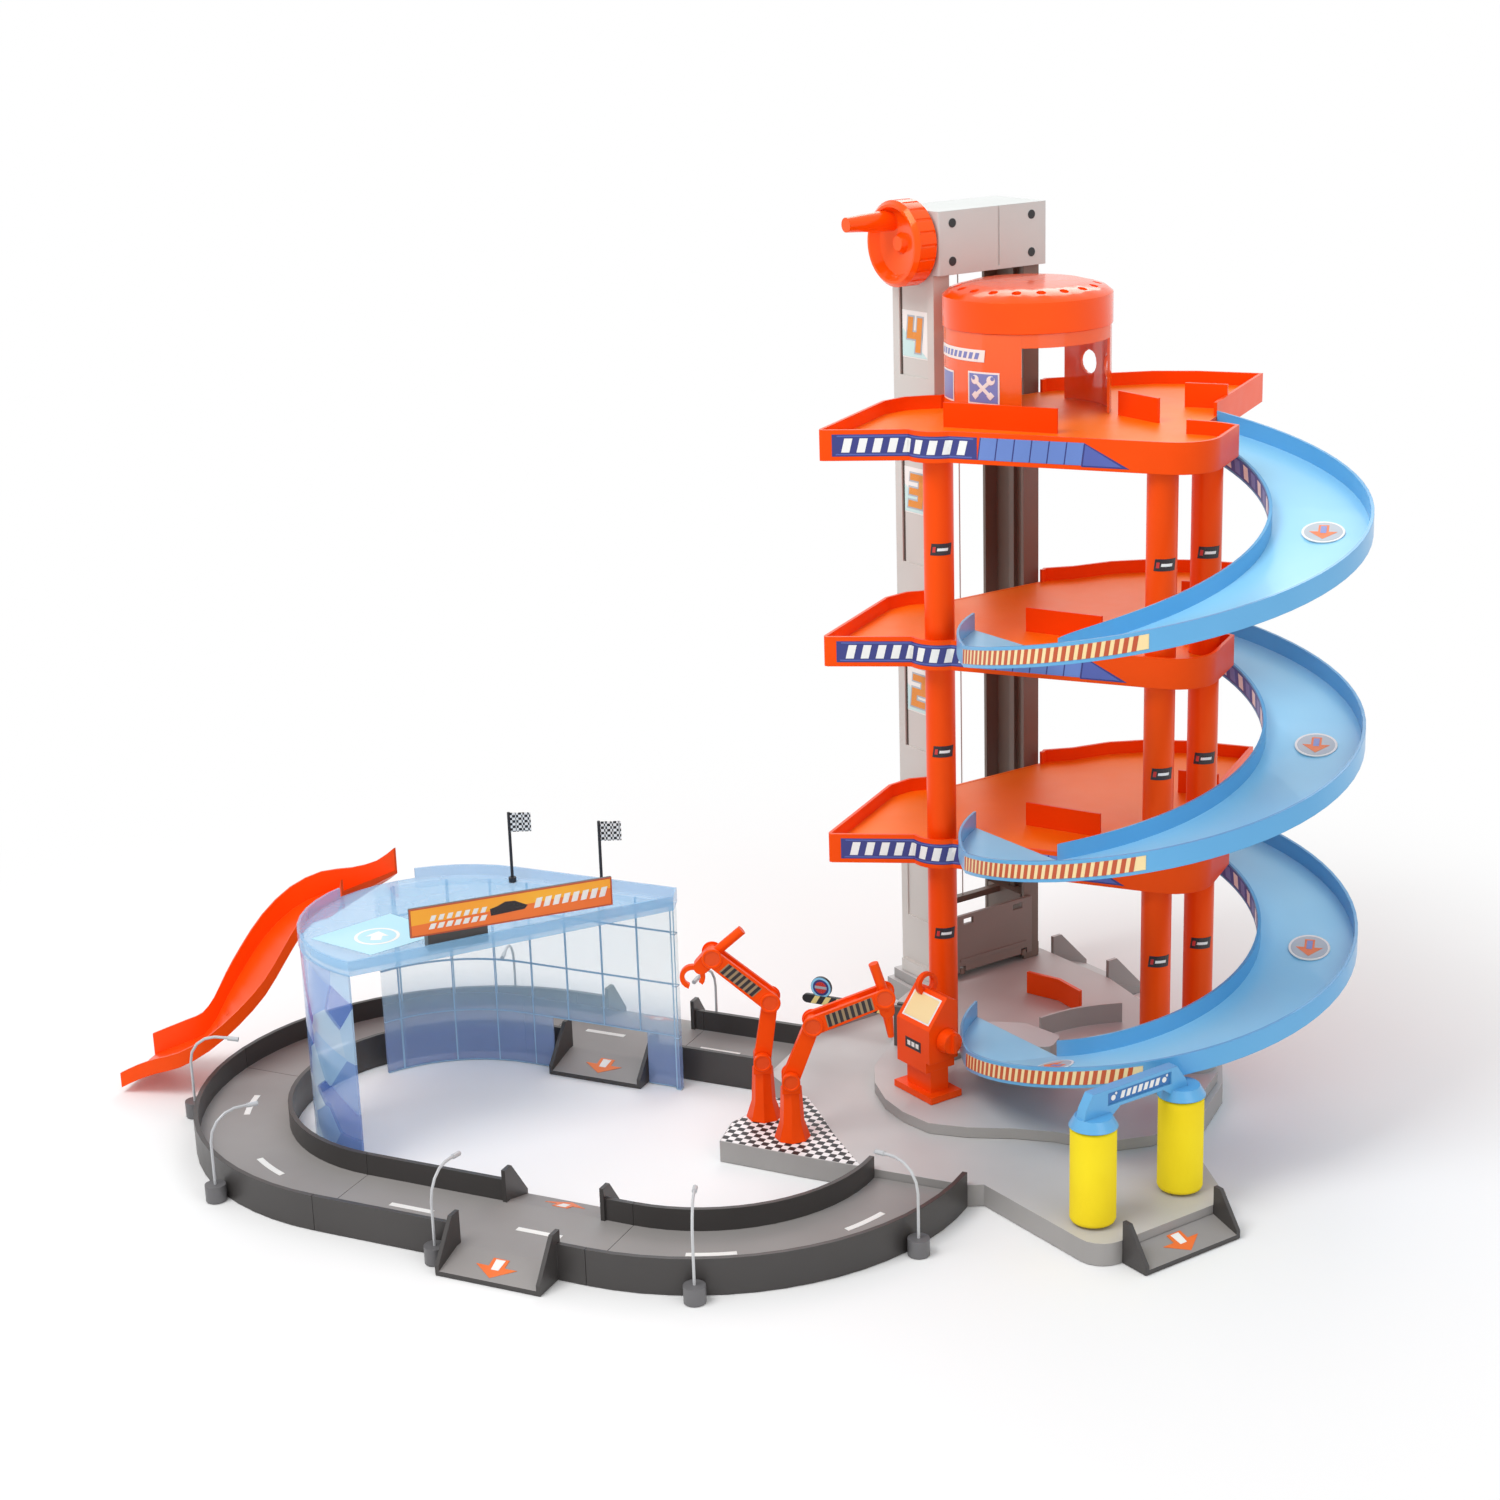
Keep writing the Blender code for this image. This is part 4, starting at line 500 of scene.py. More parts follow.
def dress_nodes():
    """Every rigid solid gets a welded copy with its finish; the cord and the foam are made anew."""
    for name in frame["nodes"]:
        alike = next((row for row in ALIKE if name.startswith(row[0])), None)
        if name == "lift_cord":
            winch_cord(name)
        elif name.startswith("wash_roller_"):
            foam_roller(name)
        elif name.startswith("floor_"):
            skin(name, ("orange", "tray"), deck_face(int(name[-1]) - 1))
        elif alike:
            skin(name, alike[1], alike[2])
        else:
            skin(name, (NODE_FINISH.get(name, "orange"),))


def circle(count, radius, centre=(0, 0)):
    """Points evenly round a circle."""
    angles = [2 * math.pi * k / count for k in range(count)]
    return [(centre[0] + radius * math.cos(a), centre[1] + radius * math.sin(a)) for a in angles]


def loft(data, rings, slot=0):
    """A closed shape through rings of vertices; gives its faces, the two ends first."""
    faces = [data.faces.new(rings[0][::-1]), data.faces.new(rings[-1])]
    for lower, upper in zip(rings, rings[1:]):
        for k in range(len(lower)):
            m = (k + 1) % len(lower)
            faces.append(data.faces.new((lower[k], lower[m], upper[m], upper[k])))
    for face in faces:
        face.material_index = slot
    return faces


def winch_cord(name):
    """The winch's twisted cord of three strands, riding on the cord's own body."""
    low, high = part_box(name)
    x, y = (low[0] + high[0]) / 2, (low[1] + high[1]) / 2
    tall = high[2] - low[2]
    step, pitch, lay, strand_r = 0.0011, 0.0066, 0.00026, 0.00031
    rows = int(tall / step)
    data = bmesh.new()
    for strand in range(3):
        rings = []
        for i in range(rows + 1):
            turn = 2 * math.pi * (strand / 3 + i * step / pitch)
            at = (x + lay * math.cos(turn), y + lay * math.sin(turn))
            height = low[2] + tall * i / rows
            rings.append([data.verts.new((*point, height)) for point in circle(6, strand_r, at)])
        for face in loft(data, rings)[2:]:
            face.smooth = True
    piece = on_body(name + "_strands", data, ("cord",), body_of(frame["nodes"][name])[0])
    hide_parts(name)
    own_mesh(piece)


def foam_roller(name):
    """A foam roller: cut ends pull in a little, and the foam's sliced rings show round it."""
    axis = in_wash(-WASH_HALF if name.endswith("front") else WASH_HALF, 0)
    low = PLATE_TOP + 0.002
    rows, sides = 68, 48
    data = bmesh.new()
    rings = []
    for i in range(rows + 1):
        t = i / rows
        end = min(t, 1 - t) * ROLLER_TALL
        pulled = 0.0009 * max(0, 1 - end / 0.002) ** 2
        ridge = 0.00016 * (i % 2)
        points = circle(sides, ROLLER_R - pulled - ridge, axis)
        rings.append([data.verts.new((*point, low + ROLLER_TALL * t)) for point in points])
    for face in loft(data, rings)[2:]:
        face.smooth = True
    piece = on_body(name + "_foam", data, ("foam",), body_of(frame["nodes"][name])[0])
    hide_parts(name)


def pale_floor():
    """The floor: it holds the shadow near the object and turns white further out."""
    reach = 6.0
    floor = bpy.data.meshes.new("floor")
    floor.from_pydata([(*point, 0) for point in rect(-reach, -reach, reach, reach)], [], [(0, 1, 2, 3)])
    ground = placed("floor", floor)
    ground.location.z = -0.0005
    white, tree, shader, place = new_material("studio_floor", 0.9)
    shader.inputs["Base Color"].default_value = linear("#F7F7F7")
    away = add(tree, "ShaderNodeVectorMath", {0: place, 1: (-0.15, -0.07, 0)}, operation="DISTANCE")
    edge = mapped(tree, away.outputs["Value"], 0.0, 1.0, (0.40, 0.95), "SMOOTHSTEP")
    glow = add(tree, "ShaderNodeEmission", {"Color": (1, 1, 1, 1), "Strength": 1.0})
    both = add(tree, "ShaderNodeMixShader", {0: edge, 1: shader.outputs[0], 2: glow.outputs[0]})
    surface = next(n for n in tree.nodes if n.type == "OUTPUT_MATERIAL")
    tree.links.new(both.outputs[0], surface.inputs["Surface"])
    floor.materials.append(white)


def white_world():
    """White all round, at full strength only where the camera, gloss or glass looks at it."""
    world = bpy.data.worlds.new("studio")
    bpy.context.scene.world = world
    world.use_nodes = True
    tree = world.node_tree
    back = tree.nodes["Background"]
    rays = add(tree, "ShaderNodeLightPath").outputs
    seen = maths(tree, "MAXIMUM", rays["Is Camera Ray"], rays["Is Glossy Ray"])
    seen = maths(tree, "MAXIMUM", seen, rays["Is Transmission Ray"])
    tree.links.new(mapped(tree, seen, 0.66, 1.0), back.inputs["Strength"])
    back.inputs["Color"].default_value = (1, 1, 1, 1)


def stage():
    """Pale floor, white surroundings, soft lamps and the camera."""
    scene = bpy.context.scene
    scene.view_settings.view_transform = "Standard"
    pale_floor()
    white_world()
    for name, at, power, size in (
        ("key", (-0.7, -1.3, 2.3), 30, 1.2),
        ("fill", (1.9, -1.2, 1.4), 8, 1.4),
        ("rim", (-0.6, 1.8, 1.8), 10, 1.2),
    ):
        lamp = bpy.data.lights.new(name, "AREA")
        lamp.energy = power
        lamp.size = size
        item = placed(name, lamp)
        item.location = at
        item.rotation_euler = (Vector((-0.1, -0.05, 0.25)) - Vector(at)).to_track_quat("-Z", "Y").to_euler()

    right = Vector(VIEW_RIGHT).normalized()
    level_ahead = Vector((-right.y, right.x, 0))
    ahead = level_ahead * math.cos(CAMERA_PITCH) - Vector((0, 0, math.sin(CAMERA_PITCH)))
    above = right.cross(ahead)
    across = right * math.cos(CAMERA_ROLL) + above * math.sin(CAMERA_ROLL)
    upward = -right * math.sin(CAMERA_ROLL) + above * math.cos(CAMERA_ROLL)
    optics = bpy.data.cameras.new("camera")
    optics.lens = FOCAL_MM
    optics.sensor_width = 36.0
    camera = placed("camera", optics)
    turn = Matrix((across, upward, -ahead)).transposed().to_4x4()
    camera.matrix_world = Matrix.Translation(CAMERA_AT) @ turn
    scene.camera = camera


def strip(data, place, start, end, low, high, out, steps=1, slant=0.0, slot=0):
    """A thin closed strip on a surface, from start to end along it and from low to high across it."""
    section = ((0, low, out[0]), (0, low, out[1]), (slant, high, out[1]), (slant, high, out[0]))
    rings = []
    for i in range(steps + 1):
        along = start + (end - start) * i / steps
        rings.append([data.verts.new(place(along + shift, up, depth)) for shift, up, depth in section])
    loft(data, rings, slot)


def stroke(data, place, start, end, wide, out, parts=8, slot=0):
    """A straight bar on a surface between two points, in short steps so that it follows the bend."""
    run = Vector((end[0] - start[0], end[1] - start[1]))
    side = Vector((-run.y, run.x)).normalized() * wide / 2
    section = ((-1, out[0]), (1, out[0]), (1, out[1]), (-1, out[1]))
    rings = []
    for i in range(parts + 1):
        u, v = start[0] + run.x * i / parts, start[1] + run.y * i / parts
        rings.append([data.verts.new(place(u + s * side.x, v + s * side.y, depth)) for s, depth in section])
    loft(data, rings, slot)


def patch(data, place, outline, out, slot=0):
    """A thin closed print of any outline on a surface."""
    loft(data, [[data.verts.new(place(u, v, depth)) for u, v in outline] for depth in out[:2]], slot)


def knuckle(data, place, radius, sides=28):
    """A round joint cover with a rounded rim and a sunk face, as a turned shape on a plane."""
    profile = (
        (1.0, -0.0002), (1.0, 0.0008), (0.95, 0.0013), (0.84, 0.0014),
        (0.76, 0.0012), (0.74, 0.0007), (0.2, 0.0007),
    )
    rings = []
    for share, height in profile:
        rings.append([data.verts.new(place(u, v, height)) for u, v in circle(sides, radius * share)])
    faces = loft(data, rings)
    for face in (faces[1], *faces[-sides:]):
        face.material_index = 1


def flat_place(origin, along, up):
    """A plane: along and up are its directions, and out is the way it faces."""
    origin, along, up = Vector(origin), Vector(along).normalized(), Vector(up).normalized()
    facing = along.cross(up)
    return lambda u, v, out: origin + along * u + up * v + facing * out


def round_place(centre, radius, start, base, fall=0.0, side=1):
    """A cylinder wall: u runs round it in metres from the start angle, and its base may fall on the way."""
    def place(u, v, out):
        angle = math.radians(start) + u / radius
        reach = radius + side * out
        height = base + v + fall * math.degrees(u / radius)
        return Vector((centre[0] + reach * math.cos(angle), centre[1] + reach * math.sin(angle), height))
    return place


def path_place(points, base):
    """A wall that follows a plan path; out is to the right of the way it runs."""
    points = [Vector(p) for p in points]
    lengths = [(b - a).length for a, b in zip(points, points[1:])]

    def place(u, v, out):
        left = u
        for i, long in enumerate(lengths):
            if left <= long or i == len(lengths) - 1:
                way = (points[i + 1] - points[i]).normalized()
                at = points[i] + way * left
                return Vector((at.x + way.y * out, at.y - way.x * out, base + v))
            left -= long
    return place


def rect(left, low, right, high):
    """A rectangle's outline."""
    return [(left, low), (right, low), (right, high), (left, high)]


def bar(x, low, high, wide, lean):
    """A leaning bar's outline."""
    return [(x, low), (x + wide, low), (x + wide + lean, high), (x + lean, high)]


def arrow(shaft, wing, tail, neck, tip):
    """An arrow's outline, from half widths of shaft and wing and the heights of tail, neck and tip."""
    back = [(-shaft, tail), (shaft, tail), (shaft, neck)]
    return back + [(wing, neck), (0, tip), (-wing, neck), (-shaft, neck)]


def sticker(name, place, shapes, kinds, body="garage"):
    """A printed piece on a surface; each shape is an outline, its two heights and its finish's number."""
    data = bmesh.new()
    for outline, out, slot in shapes:
        patch(data, place, outline, out, slot)
    return on_body(name, data, kinds, body)


def row_group():
    """Geometry nodes: a row of one item, moved and turned step by step, made real and given its finish."""
    group = bpy.data.node_groups.get("row of pieces")
    if group:
        return group
    group = bpy.data.node_groups.new("row of pieces", "GeometryNodeTree")
    for name, kind in (
        ("Item", "NodeSocketObject"),
        ("Count", "NodeSocketInt"),
        ("Step", "NodeSocketVector"),
        ("Turn", "NodeSocketFloat"),
        ("Finish", "NodeSocketMaterial"),
    ):
        group.interface.new_socket(name, in_out="INPUT", socket_type=kind)
    group.interface.new_socket("Geometry", in_out="OUTPUT", socket_type="NodeSocketGeometry")
    given = group.nodes.new("NodeGroupInput").outputs
    steps = {"Count": given["Count"], "Offset": given["Step"]}
    line = add(group, "GeometryNodeMeshLine", steps, mode="OFFSET")
    index = add(group, "GeometryNodeInputIndex")
    angle = maths(group, "MULTIPLY", index.outputs[0], given["Turn"])
    turned = add(group, "ShaderNodeCombineXYZ", {"Z": angle})
    item = add(group, "GeometryNodeObjectInfo", {"Object": given["Item"]})
    copies = add(group, "GeometryNodeInstanceOnPoints", {
        "Points": line.outputs["Mesh"],
        "Instance": item.outputs["Geometry"],
        "Rotation": turned.outputs["Vector"],
    })
    real = add(group, "GeometryNodeRealizeInstances", {"Geometry": copies.outputs["Instances"]})
    finish = {"Geometry": real.outputs["Geometry"], "Material": given["Finish"]}
    painted = add(group, "GeometryNodeSetMaterial", finish)
    out = group.nodes.new("NodeGroupOutput")
    group.links.new(painted.outputs["Geometry"], out.inputs["Geometry"])
    return group


def repeat(name, body, data, count, kind, step=(0, 0, 0), turn=0.0, centre=(0, 0, 0)):
    """Repeats the item in data through the row group as one piece; each step turns about centre."""
    bmesh.ops.recalc_face_normals(data, faces=data.faces)
    data.transform(Matrix.Translation(-Vector(centre)))
    item = placed(name + "_item", mesh_of(name + "_item", data))
    host = placed(name + "_row", bpy.data.meshes.new(name + "_row"))
    row = host.modifiers.new("row", "NODES")
    row.node_group = row_group()
    values = {"Item": item, "Count": count, "Step": step, "Turn": turn, "Finish": finishes()[kind]}
    for socket in row.node_group.interface.items_tree:
        if socket.in_out == "INPUT":
            row[socket.identifier] = values[socket.name]
    host.update_tag()
    finished = evaluated(host)
    bpy.data.objects.remove(item, do_unlink=True)
    if not finished.polygons:
        raise RuntimeError(f"{name}: the row came out empty")
    finished.transform(Matrix.Translation(centre))
    finished.materials.clear()
    finished.materials.append(finishes()[kind])
    piece = placed(name, finished)
    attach(piece, body)
    return piece


def deck_stickers(sizes):
    """The printed bands on the deck fronts: white bars on navy, then blue blocks and an arrow head."""
    bends = [math.radians(angle) for angle in range(-134, -48, 7)]
    bulge = [(DECK_BULGE * math.cos(bend), DECK_BULGE * math.sin(bend)) for bend in bends]
    path = [(-0.0765, -0.0358), *bulge, (0.0150, -0.017), (0.180, -0.017)]
    low, high = 0.0032, 0.0188
    band_end, first, gap = 0.1178, 0.1180, 0.0007
    fine = 180
    wide = sizes.block_wide + gap
    for level, deck in enumerate(DECKS, 1):
        place = path_place(path, deck - SKIRT)
        data = bmesh.new()
        strip(data, place, 0.010, band_end, low, high, STUCK, fine)
        for i in range(9):
            start = 0.0165 + i * 0.0108
            strip(data, place, start, start + 0.0058, low + 0.0028, high - 0.0028, OVER, 10, 0.0024, 1)
        strip(data, place, 0.0125, band_end - 0.0035, low + 0.0008, low + 0.0018, PRINT, fine, 0, 2)
        strip(data, place, 0.0135, band_end - 0.0025, high - 0.0018, high - 0.0008, PRINT, fine, 0, 2)
        on_body(f"deck_{level}_bars", data, ("navy", "white", "violet"))
        data = bmesh.new()
        strip(data, place, first, first + 6 * wide, low, high, STUCK, 1, 0.002, 1)
        for i in range(6):
            start = first + i * wide
            strip(data, place, start + 0.0009, start + wide, low, high, PRINT, 1, 0.002, 0)
        tip = first + 6 * wide
        patch(data, place, [(tip, low - 0.001), (tip + 0.034, low - 0.001), (tip + 0.002, high)], STUCK, 1)
        patch(data, place, [(tip + 0.0012, low), (tip + 0.029, low), (tip + 0.003, high - 0.0012)], PRINT, 2)
        on_body(f"deck_{level}_arrow", data, ("arrow_blue", "navy", "violet"))


def ramp_stickers(sizes):
    """Rust and cream bars round each ramp's foot, a violet band on its inner wall and arrow discs."""
    turn = sizes.bar_turn
    hub = (LANE_X, 0)
    band_turn, inner_turn = 68, 66
    for number in (3, 2, 1):
        foot = DECKS[number - 1] - STOREY + SEAT_GAP
        place = round_place(hub, RAMP_OUT, RAMP_FIRST, foot, RAMP_FALL)
        data = bmesh.new()
        strip(data, place, 0, math.radians(band_turn) * RAMP_OUT, 0.0025, 0.0125, STUCK, 60)
        on_body(f"ramp_{number}_band", data, ("cream",))
        data = bmesh.new()
        strip(data, place, 0, math.tan(turn) * RAMP_OUT * 0.52, 0.0025, 0.0125, (0.00010, 0.0003), 1, 0.0016)
        count = int(band_turn / math.degrees(turn))
        rise = (0, 0, RAMP_FALL * math.degrees(turn))
        repeat(f"ramp_{number}_bars", "garage", data, count, "rust", rise, turn, (*hub, 0))
        data = bmesh.new()
        inner = round_place(hub, RAMP_IN, 12, foot + RAMP_FALL * (12 - RAMP_FIRST), RAMP_FALL, -1)
        strip(data, inner, 0, math.radians(inner_turn) * RAMP_IN, 0.0015, 0.0135, STUCK, 26)
        for i in range(9):
            start = 0.004 + i * 0.0088
            strip(data, inner, start, start + 0.005, 0.003, 0.012, PRINT, 2, 0.0015, 1 + i % 2)
        on_body(f"ramp_{number}_inner_band", data, ("violet", "violet_light", "white"))
        for angle, reach in ((9, 0.108), (-116, 0.104)):
            outward, onward = heading(angle)
            height = foot + RAMP_FALL * (angle - RAMP_FIRST) + 0.0031
            up_lane = (onward + Vector((0, 0, math.degrees(RAMP_FALL) / reach))).normalized()
            disc = flat_place((LANE_X + reach * outward.x, reach * outward.y, height), outward, up_lane)
            sticker(f"ramp_{number}_disc_{angle}", disc, (
                (circle(32, 0.0145), (-0.0004, 0.0002), 0),
                (circle(32, 0.0128), (0.0001, 0.0003), 1),
                (arrow(0.0035, 0.0095, 0.009, 0, -0.010), (0.0002, 0.0004), 2),
                (rect(-0.0020, -0.002, 0.0020, 0.0075), (0.0003, 0.0005), 3),
            ), ("white", "pale_grey", "sign_orange", "violet_light"))


def road_marks(sizes):
    """White lane dashes and the arrows on the exits and the wash tray."""
    half, wide = sizes.dash_long / 2, sizes.dash_wide / 2
    bent = [(half * (k / 4 - 1), -wide) for k in range(9)] + [(half * (1 - k / 4), wide) for k in range(9)]
    for name, centre, first, count in (("left", LOOP_LEFT, 118.7, 4), ("right", LOOP_RIGHT, -65.0, 2)):
        data = bmesh.new()
        place = round_place(centre, LANE_MIDDLE, first, LANE_TOP)
        patch(data, lambda u, v, out: place(u, out, v), bent, DASH)
        repeat(f"dashes_{name}", "garage", data, count, "white", (0, 0, 0), math.radians(41.2), (*centre, 0))
    for name, at in (("front", (-0.262, -0.340, LANE_TOP)), ("back", (-0.276, -0.026, LANE_TOP))):
        data = bmesh.new()
        patch(data, flat_place(at, (1, 0, 0), (0, 1, 0)), rect(-half, -wide, half, wide), DASH)
        repeat(f"dashes_{name}", "garage", data, 2, "white", (0.100, 0, 0))
    for name, at, out, slope in (
        ("front_out", (-0.168, -0.388, 0.0066), Vector((0, -1, 0)), 0.292),
        ("front_in", (-0.168, -0.292, 0.0066), Vector((0, 1, 0)), 0.292),
        ("back_in", (-0.252, -0.076, 0.0067), Vector((0, -1, 0)), 0.241),
        ("back_out", (-0.252, 0.022, 0.0066), Vector((0, 1, 0)), 0.292),
        ("wash_tray", (*in_wash(0, -0.0437), 0.0066), -TOWER_LEFT, 0.311),
    ):
        down = (out - Vector((0, 0, slope))).normalized()
        sticker(f"arrow_{name}", flat_place(at, (out.y, -out.x, 0), down), (
            (arrow(0.006, 0.0155, -0.0085, -0.001, 0.0095), (-0.0002, 0.0003), 0),
            ([(-0.0035, -0.0075), (0.0035, -0.0075), (0.0028, 0.002), (-0.0028, 0.002)], (0.0002, 0.0004), 1),
        ), ("sign_orange", "white"))


def digit_strokes(digit):
    """Block strokes of a plain digit on a grid 2 wide and 4 tall, as rectangles."""
    strokes = {
        "top": (0, 3.2, 2, 4),
        "mid": (0, 1.5, 2, 2.3),
        "low": (0, 0, 2, 0.8),
        "ul": (0, 1.9, 0.72, 4),
        "ur": (1.28, 1.9, 2, 4),
        "ll": (0, 0, 0.72, 1.9),
        "lr": (1.28, 0, 2, 1.9),
    }
    parts = {2: "top ur mid ll low", 3: "top ur mid lr low", 4: "ul mid ur lr"}
    return [strokes[part] for part in parts[digit].split()]


def storey_number(digit, base):
    """A storey's number on the tower's side: an orange block digit with a grey rim on a white plate."""
    place = flat_place((*in_tower(POST_RECESS, 0.0405), base), -TOWER_LEFT, (0, 0, 1))
    wide, tall, lean, corner = 0.0088, 0.0066, 0.12, (0.0052, 0.0048)
    shine = [(0.001, 0.001), (0.0315, 0.001), (0.001, 0.022)]
    shapes = [(rect(0, 0, 0.0325, 0.036), STUCK, 0), (shine, PRINT, 3)]
    for grow, slot, out in ((0.0013, 1, OVER), (0, 2, TOP)):
        for i, (left, low, right, high) in enumerate(digit_strokes(digit)):
            block = rect(left * wide - grow, low * tall - grow, right * wide + grow, high * tall + grow)
            outline = [(corner[0] + x + y * lean, corner[1] + y) for x, y in block]
            shapes.append((outline, (out[0], out[1] + 0.00001 * i), slot))
    sticker(f"storey_{digit}", place, shapes, ("white", "pale_grey", "number_orange", "pale"))


def booth_signs():
    """The booth's tool sign, its side sign and its striped label."""
    centre = in_tower(0.0375, -0.0632)
    kinds = ("white", "violet_light")
    data = bmesh.new()
    place = round_place(centre, BOOTH_R, -115, 0.5075)
    strip(data, place, 0, 0.0268, 0, 0.0235, STUCK, 8)
    strip(data, place, 0.0013, 0.0255, 0.0013, 0.0222, PRINT, 8, 0, 1)
    for sign, lift in ((1, 0), (-1, 0.00006)):
        low_end, high_end = (0.0134 - 0.0066 * sign, 0.0060), (0.0134 + 0.0062 * sign, 0.0172)
        stroke(data, place, low_end, high_end, 0.0027, (0.00020, 0.00034 + lift))
        head = (0.0134 + 0.0066 * sign, 0.0178)
        patch(data, place, circle(12, 0.0034, head), (0.00020, 0.00042 + lift), 0)
        jaw = (head[0] + 0.0013 * sign, head[1] + 0.0013)
        patch(data, place, circle(6, 0.0016, jaw), (0.00030, 0.00050 + lift), 1)
    stroke(data, place, (0.0055, 0.0050), (0.0085, 0.0080), 0.0046, (0.00020, 0.00044), 3)
    stroke(data, place, (0.0213, 0.0050), (0.0183, 0.0080), 0.0046, (0.00020, 0.00050), 3)
    on_body("booth_tools_sign", data, kinds)
    data = bmesh.new()
    place = round_place(centre, BOOTH_R, -152, 0.5065)
    strip(data, place, 0, 0.0225, 0, 0.0225, STUCK, 8)
    strip(data, place, 0.0013, 0.0212, 0.0013, 0.0212, PRINT, 8, 0, 1)
    on_body("booth_side_sign", data, kinds)
    data = bmesh.new()
    place = round_place(centre, BOOTH_R, -155, 0.5380)
    strip(data, place, 0, 0.0575, 0, 0.0088, STUCK, 20, 0.001)
    for i in range(9):
        start = 0.004 + i * 0.0056
        strip(data, place, start, start + 0.0033, 0.0020, 0.0066, PRINT, 1, 0.0016, 1)
    on_body("booth_stripe", data, kinds)


def tower_stickers(sizes):
    """Storey numbers and painted shadow lines on the tower's side, and the signs on the booth."""
    for digit, base in ((4, 0.5265), (3, 0.4065), (2, 0.2465)):
        storey_number(digit, base)
    # Dark brown strips down the post recess, painted shadow where the recess is shaded
    data = bmesh.new()
    for low, high in ((0.513, 0.581), (0.367, 0.465), (0.217, 0.315)):
        place = flat_place((*in_tower(POST_RECESS, 0.0418), low), -TOWER_LEFT, (0, 0, 1))
        patch(data, place, rect(0, 0, 0.0022, high - low), STUCK)
    on_body("post_shadow_lines", data, ("painted_shadow_brown",))
    booth_signs()


def column_stickers(sizes):
    """Small dark badges on the columns."""
    for number, (at, facing) in enumerate((((0, 0), -104), ((LANE_X, 0), -104), ((0.182, 0.045), -108)), 1):
        for level, base in enumerate((0.1215, 0.2625, 0.4125), 1):
            place = round_place(at, 0.0108, facing, base)
            data = bmesh.new()
            strip(data, place, 0, 0.0158, 0, 0.0085, STUCK, 8, 0.0012, 0)
            strip(data, place, 0.0018, 0.0040, 0.0022, 0.0062, PRINT, 2, 0.0005, 1)
            strip(data, place, 0.0052, 0.0132, 0.0032, 0.0052, PRINT, 4, 0.0004, 2)
            on_body(f"column_{number}_badge_{level}", data, ("ink", "red", "white"))


def showroom_prints(sizes):
    """The sign board's artwork, its frame, and the ring printed on the showroom roof."""
    along, back = heading(SIGN_TURN)
    half, low, tall, edge = 0.0754, 0.1678, 0.0215, 0.0012
    place = flat_place(Vector((-0.2583, -0.1894, low)) - back * 0.0045, along, (0, 0, 1))
    split = [(-half + edge, tall * 0.42), (half - edge, tall * 0.62)]
    shapes = [
        (rect(-half, 0, half, tall), STUCK, 0),
        ([(-half + edge, edge), (half - edge, edge), split[1], split[0]], PRINT, 1),
        ([*split, (half - edge, tall - edge), (-half + edge, tall - edge)], PRINT, 2),
    ]
    for i in range(7):
        x = -0.062 + i * 0.0062
        shapes.append((bar(x, 0.0045, 0.0085, 0.0042, 0.002), OVER, 3))
        shapes.append((bar(x + 0.001, 0.0105, 0.0145, 0.0036, 0.0018), OVER, 3))
    car = (
        (-0.016, 0.007), (0.009, 0.0082), (0.0115, 0.0108), (0.007, 0.0130),
        (0.002, 0.0156), (-0.005, 0.0160), (-0.011, 0.0135), (-0.0165, 0.0122),
    )
    shapes.append((car, OVER, 4))
    for i in range(8):
        x = 0.016 + i * 0.0070
        letter = [(x, 0.0075), (x + 0.0046, 0.0078), (x + 0.0070, 0.0150), (x + 0.0024, 0.0147)]
        shapes.append((letter, OVER, 3))
    sticker("sign_artwork", place, shapes, ("rust", "sign_orange", "amber", "white", "ink"))
    place = flat_place((-0.352, -0.222, SHOW_TOP), (0.905, 0.425, 0), (-0.425, 0.905, 0))
    sticker("roof_ring", place, (
        ([(-0.048, 0), (0, -0.036), (0.050, 0.004), (0.004, 0.046)], (-0.00002, 0.0002), 0),
        (circle(36, 0.0165), (0.0001, 0.0003), 1),
        (circle(36, 0.0140), (0.0002, 0.0004), 0),
        (arrow(0.004, 0.0085, -0.008, 0, 0.0095), (0.0003, 0.0005), 1),
    ), ("roof_print", "white"))


def wash_prints(sizes):
    """Bars and drops on the wash arch."""
    place = flat_place((*in_wash(0, -0.0028), 0.0980), TOWER_AHEAD, (0, 0, 1))
    shapes = [(rect(-0.0295, 0.0003, 0.0255, 0.0087), STUCK, 0)]
    for i in range(7):
        shapes.append((bar(-0.0185 + i * 0.0051, 0.0020, 0.0070, 0.0032, 0.0016), PRINT, 1))
    for x in (-0.0245, 0.0205):
        shapes.append((circle(10, 0.0020, (x, 0.0042)), PRINT, 1))
        shapes.append((circle(8, 0.0010, (x + 0.0024, 0.0068)), PRINT, 1))
    sticker("wash_sign", place, shapes, ("deep_blue", "white"))


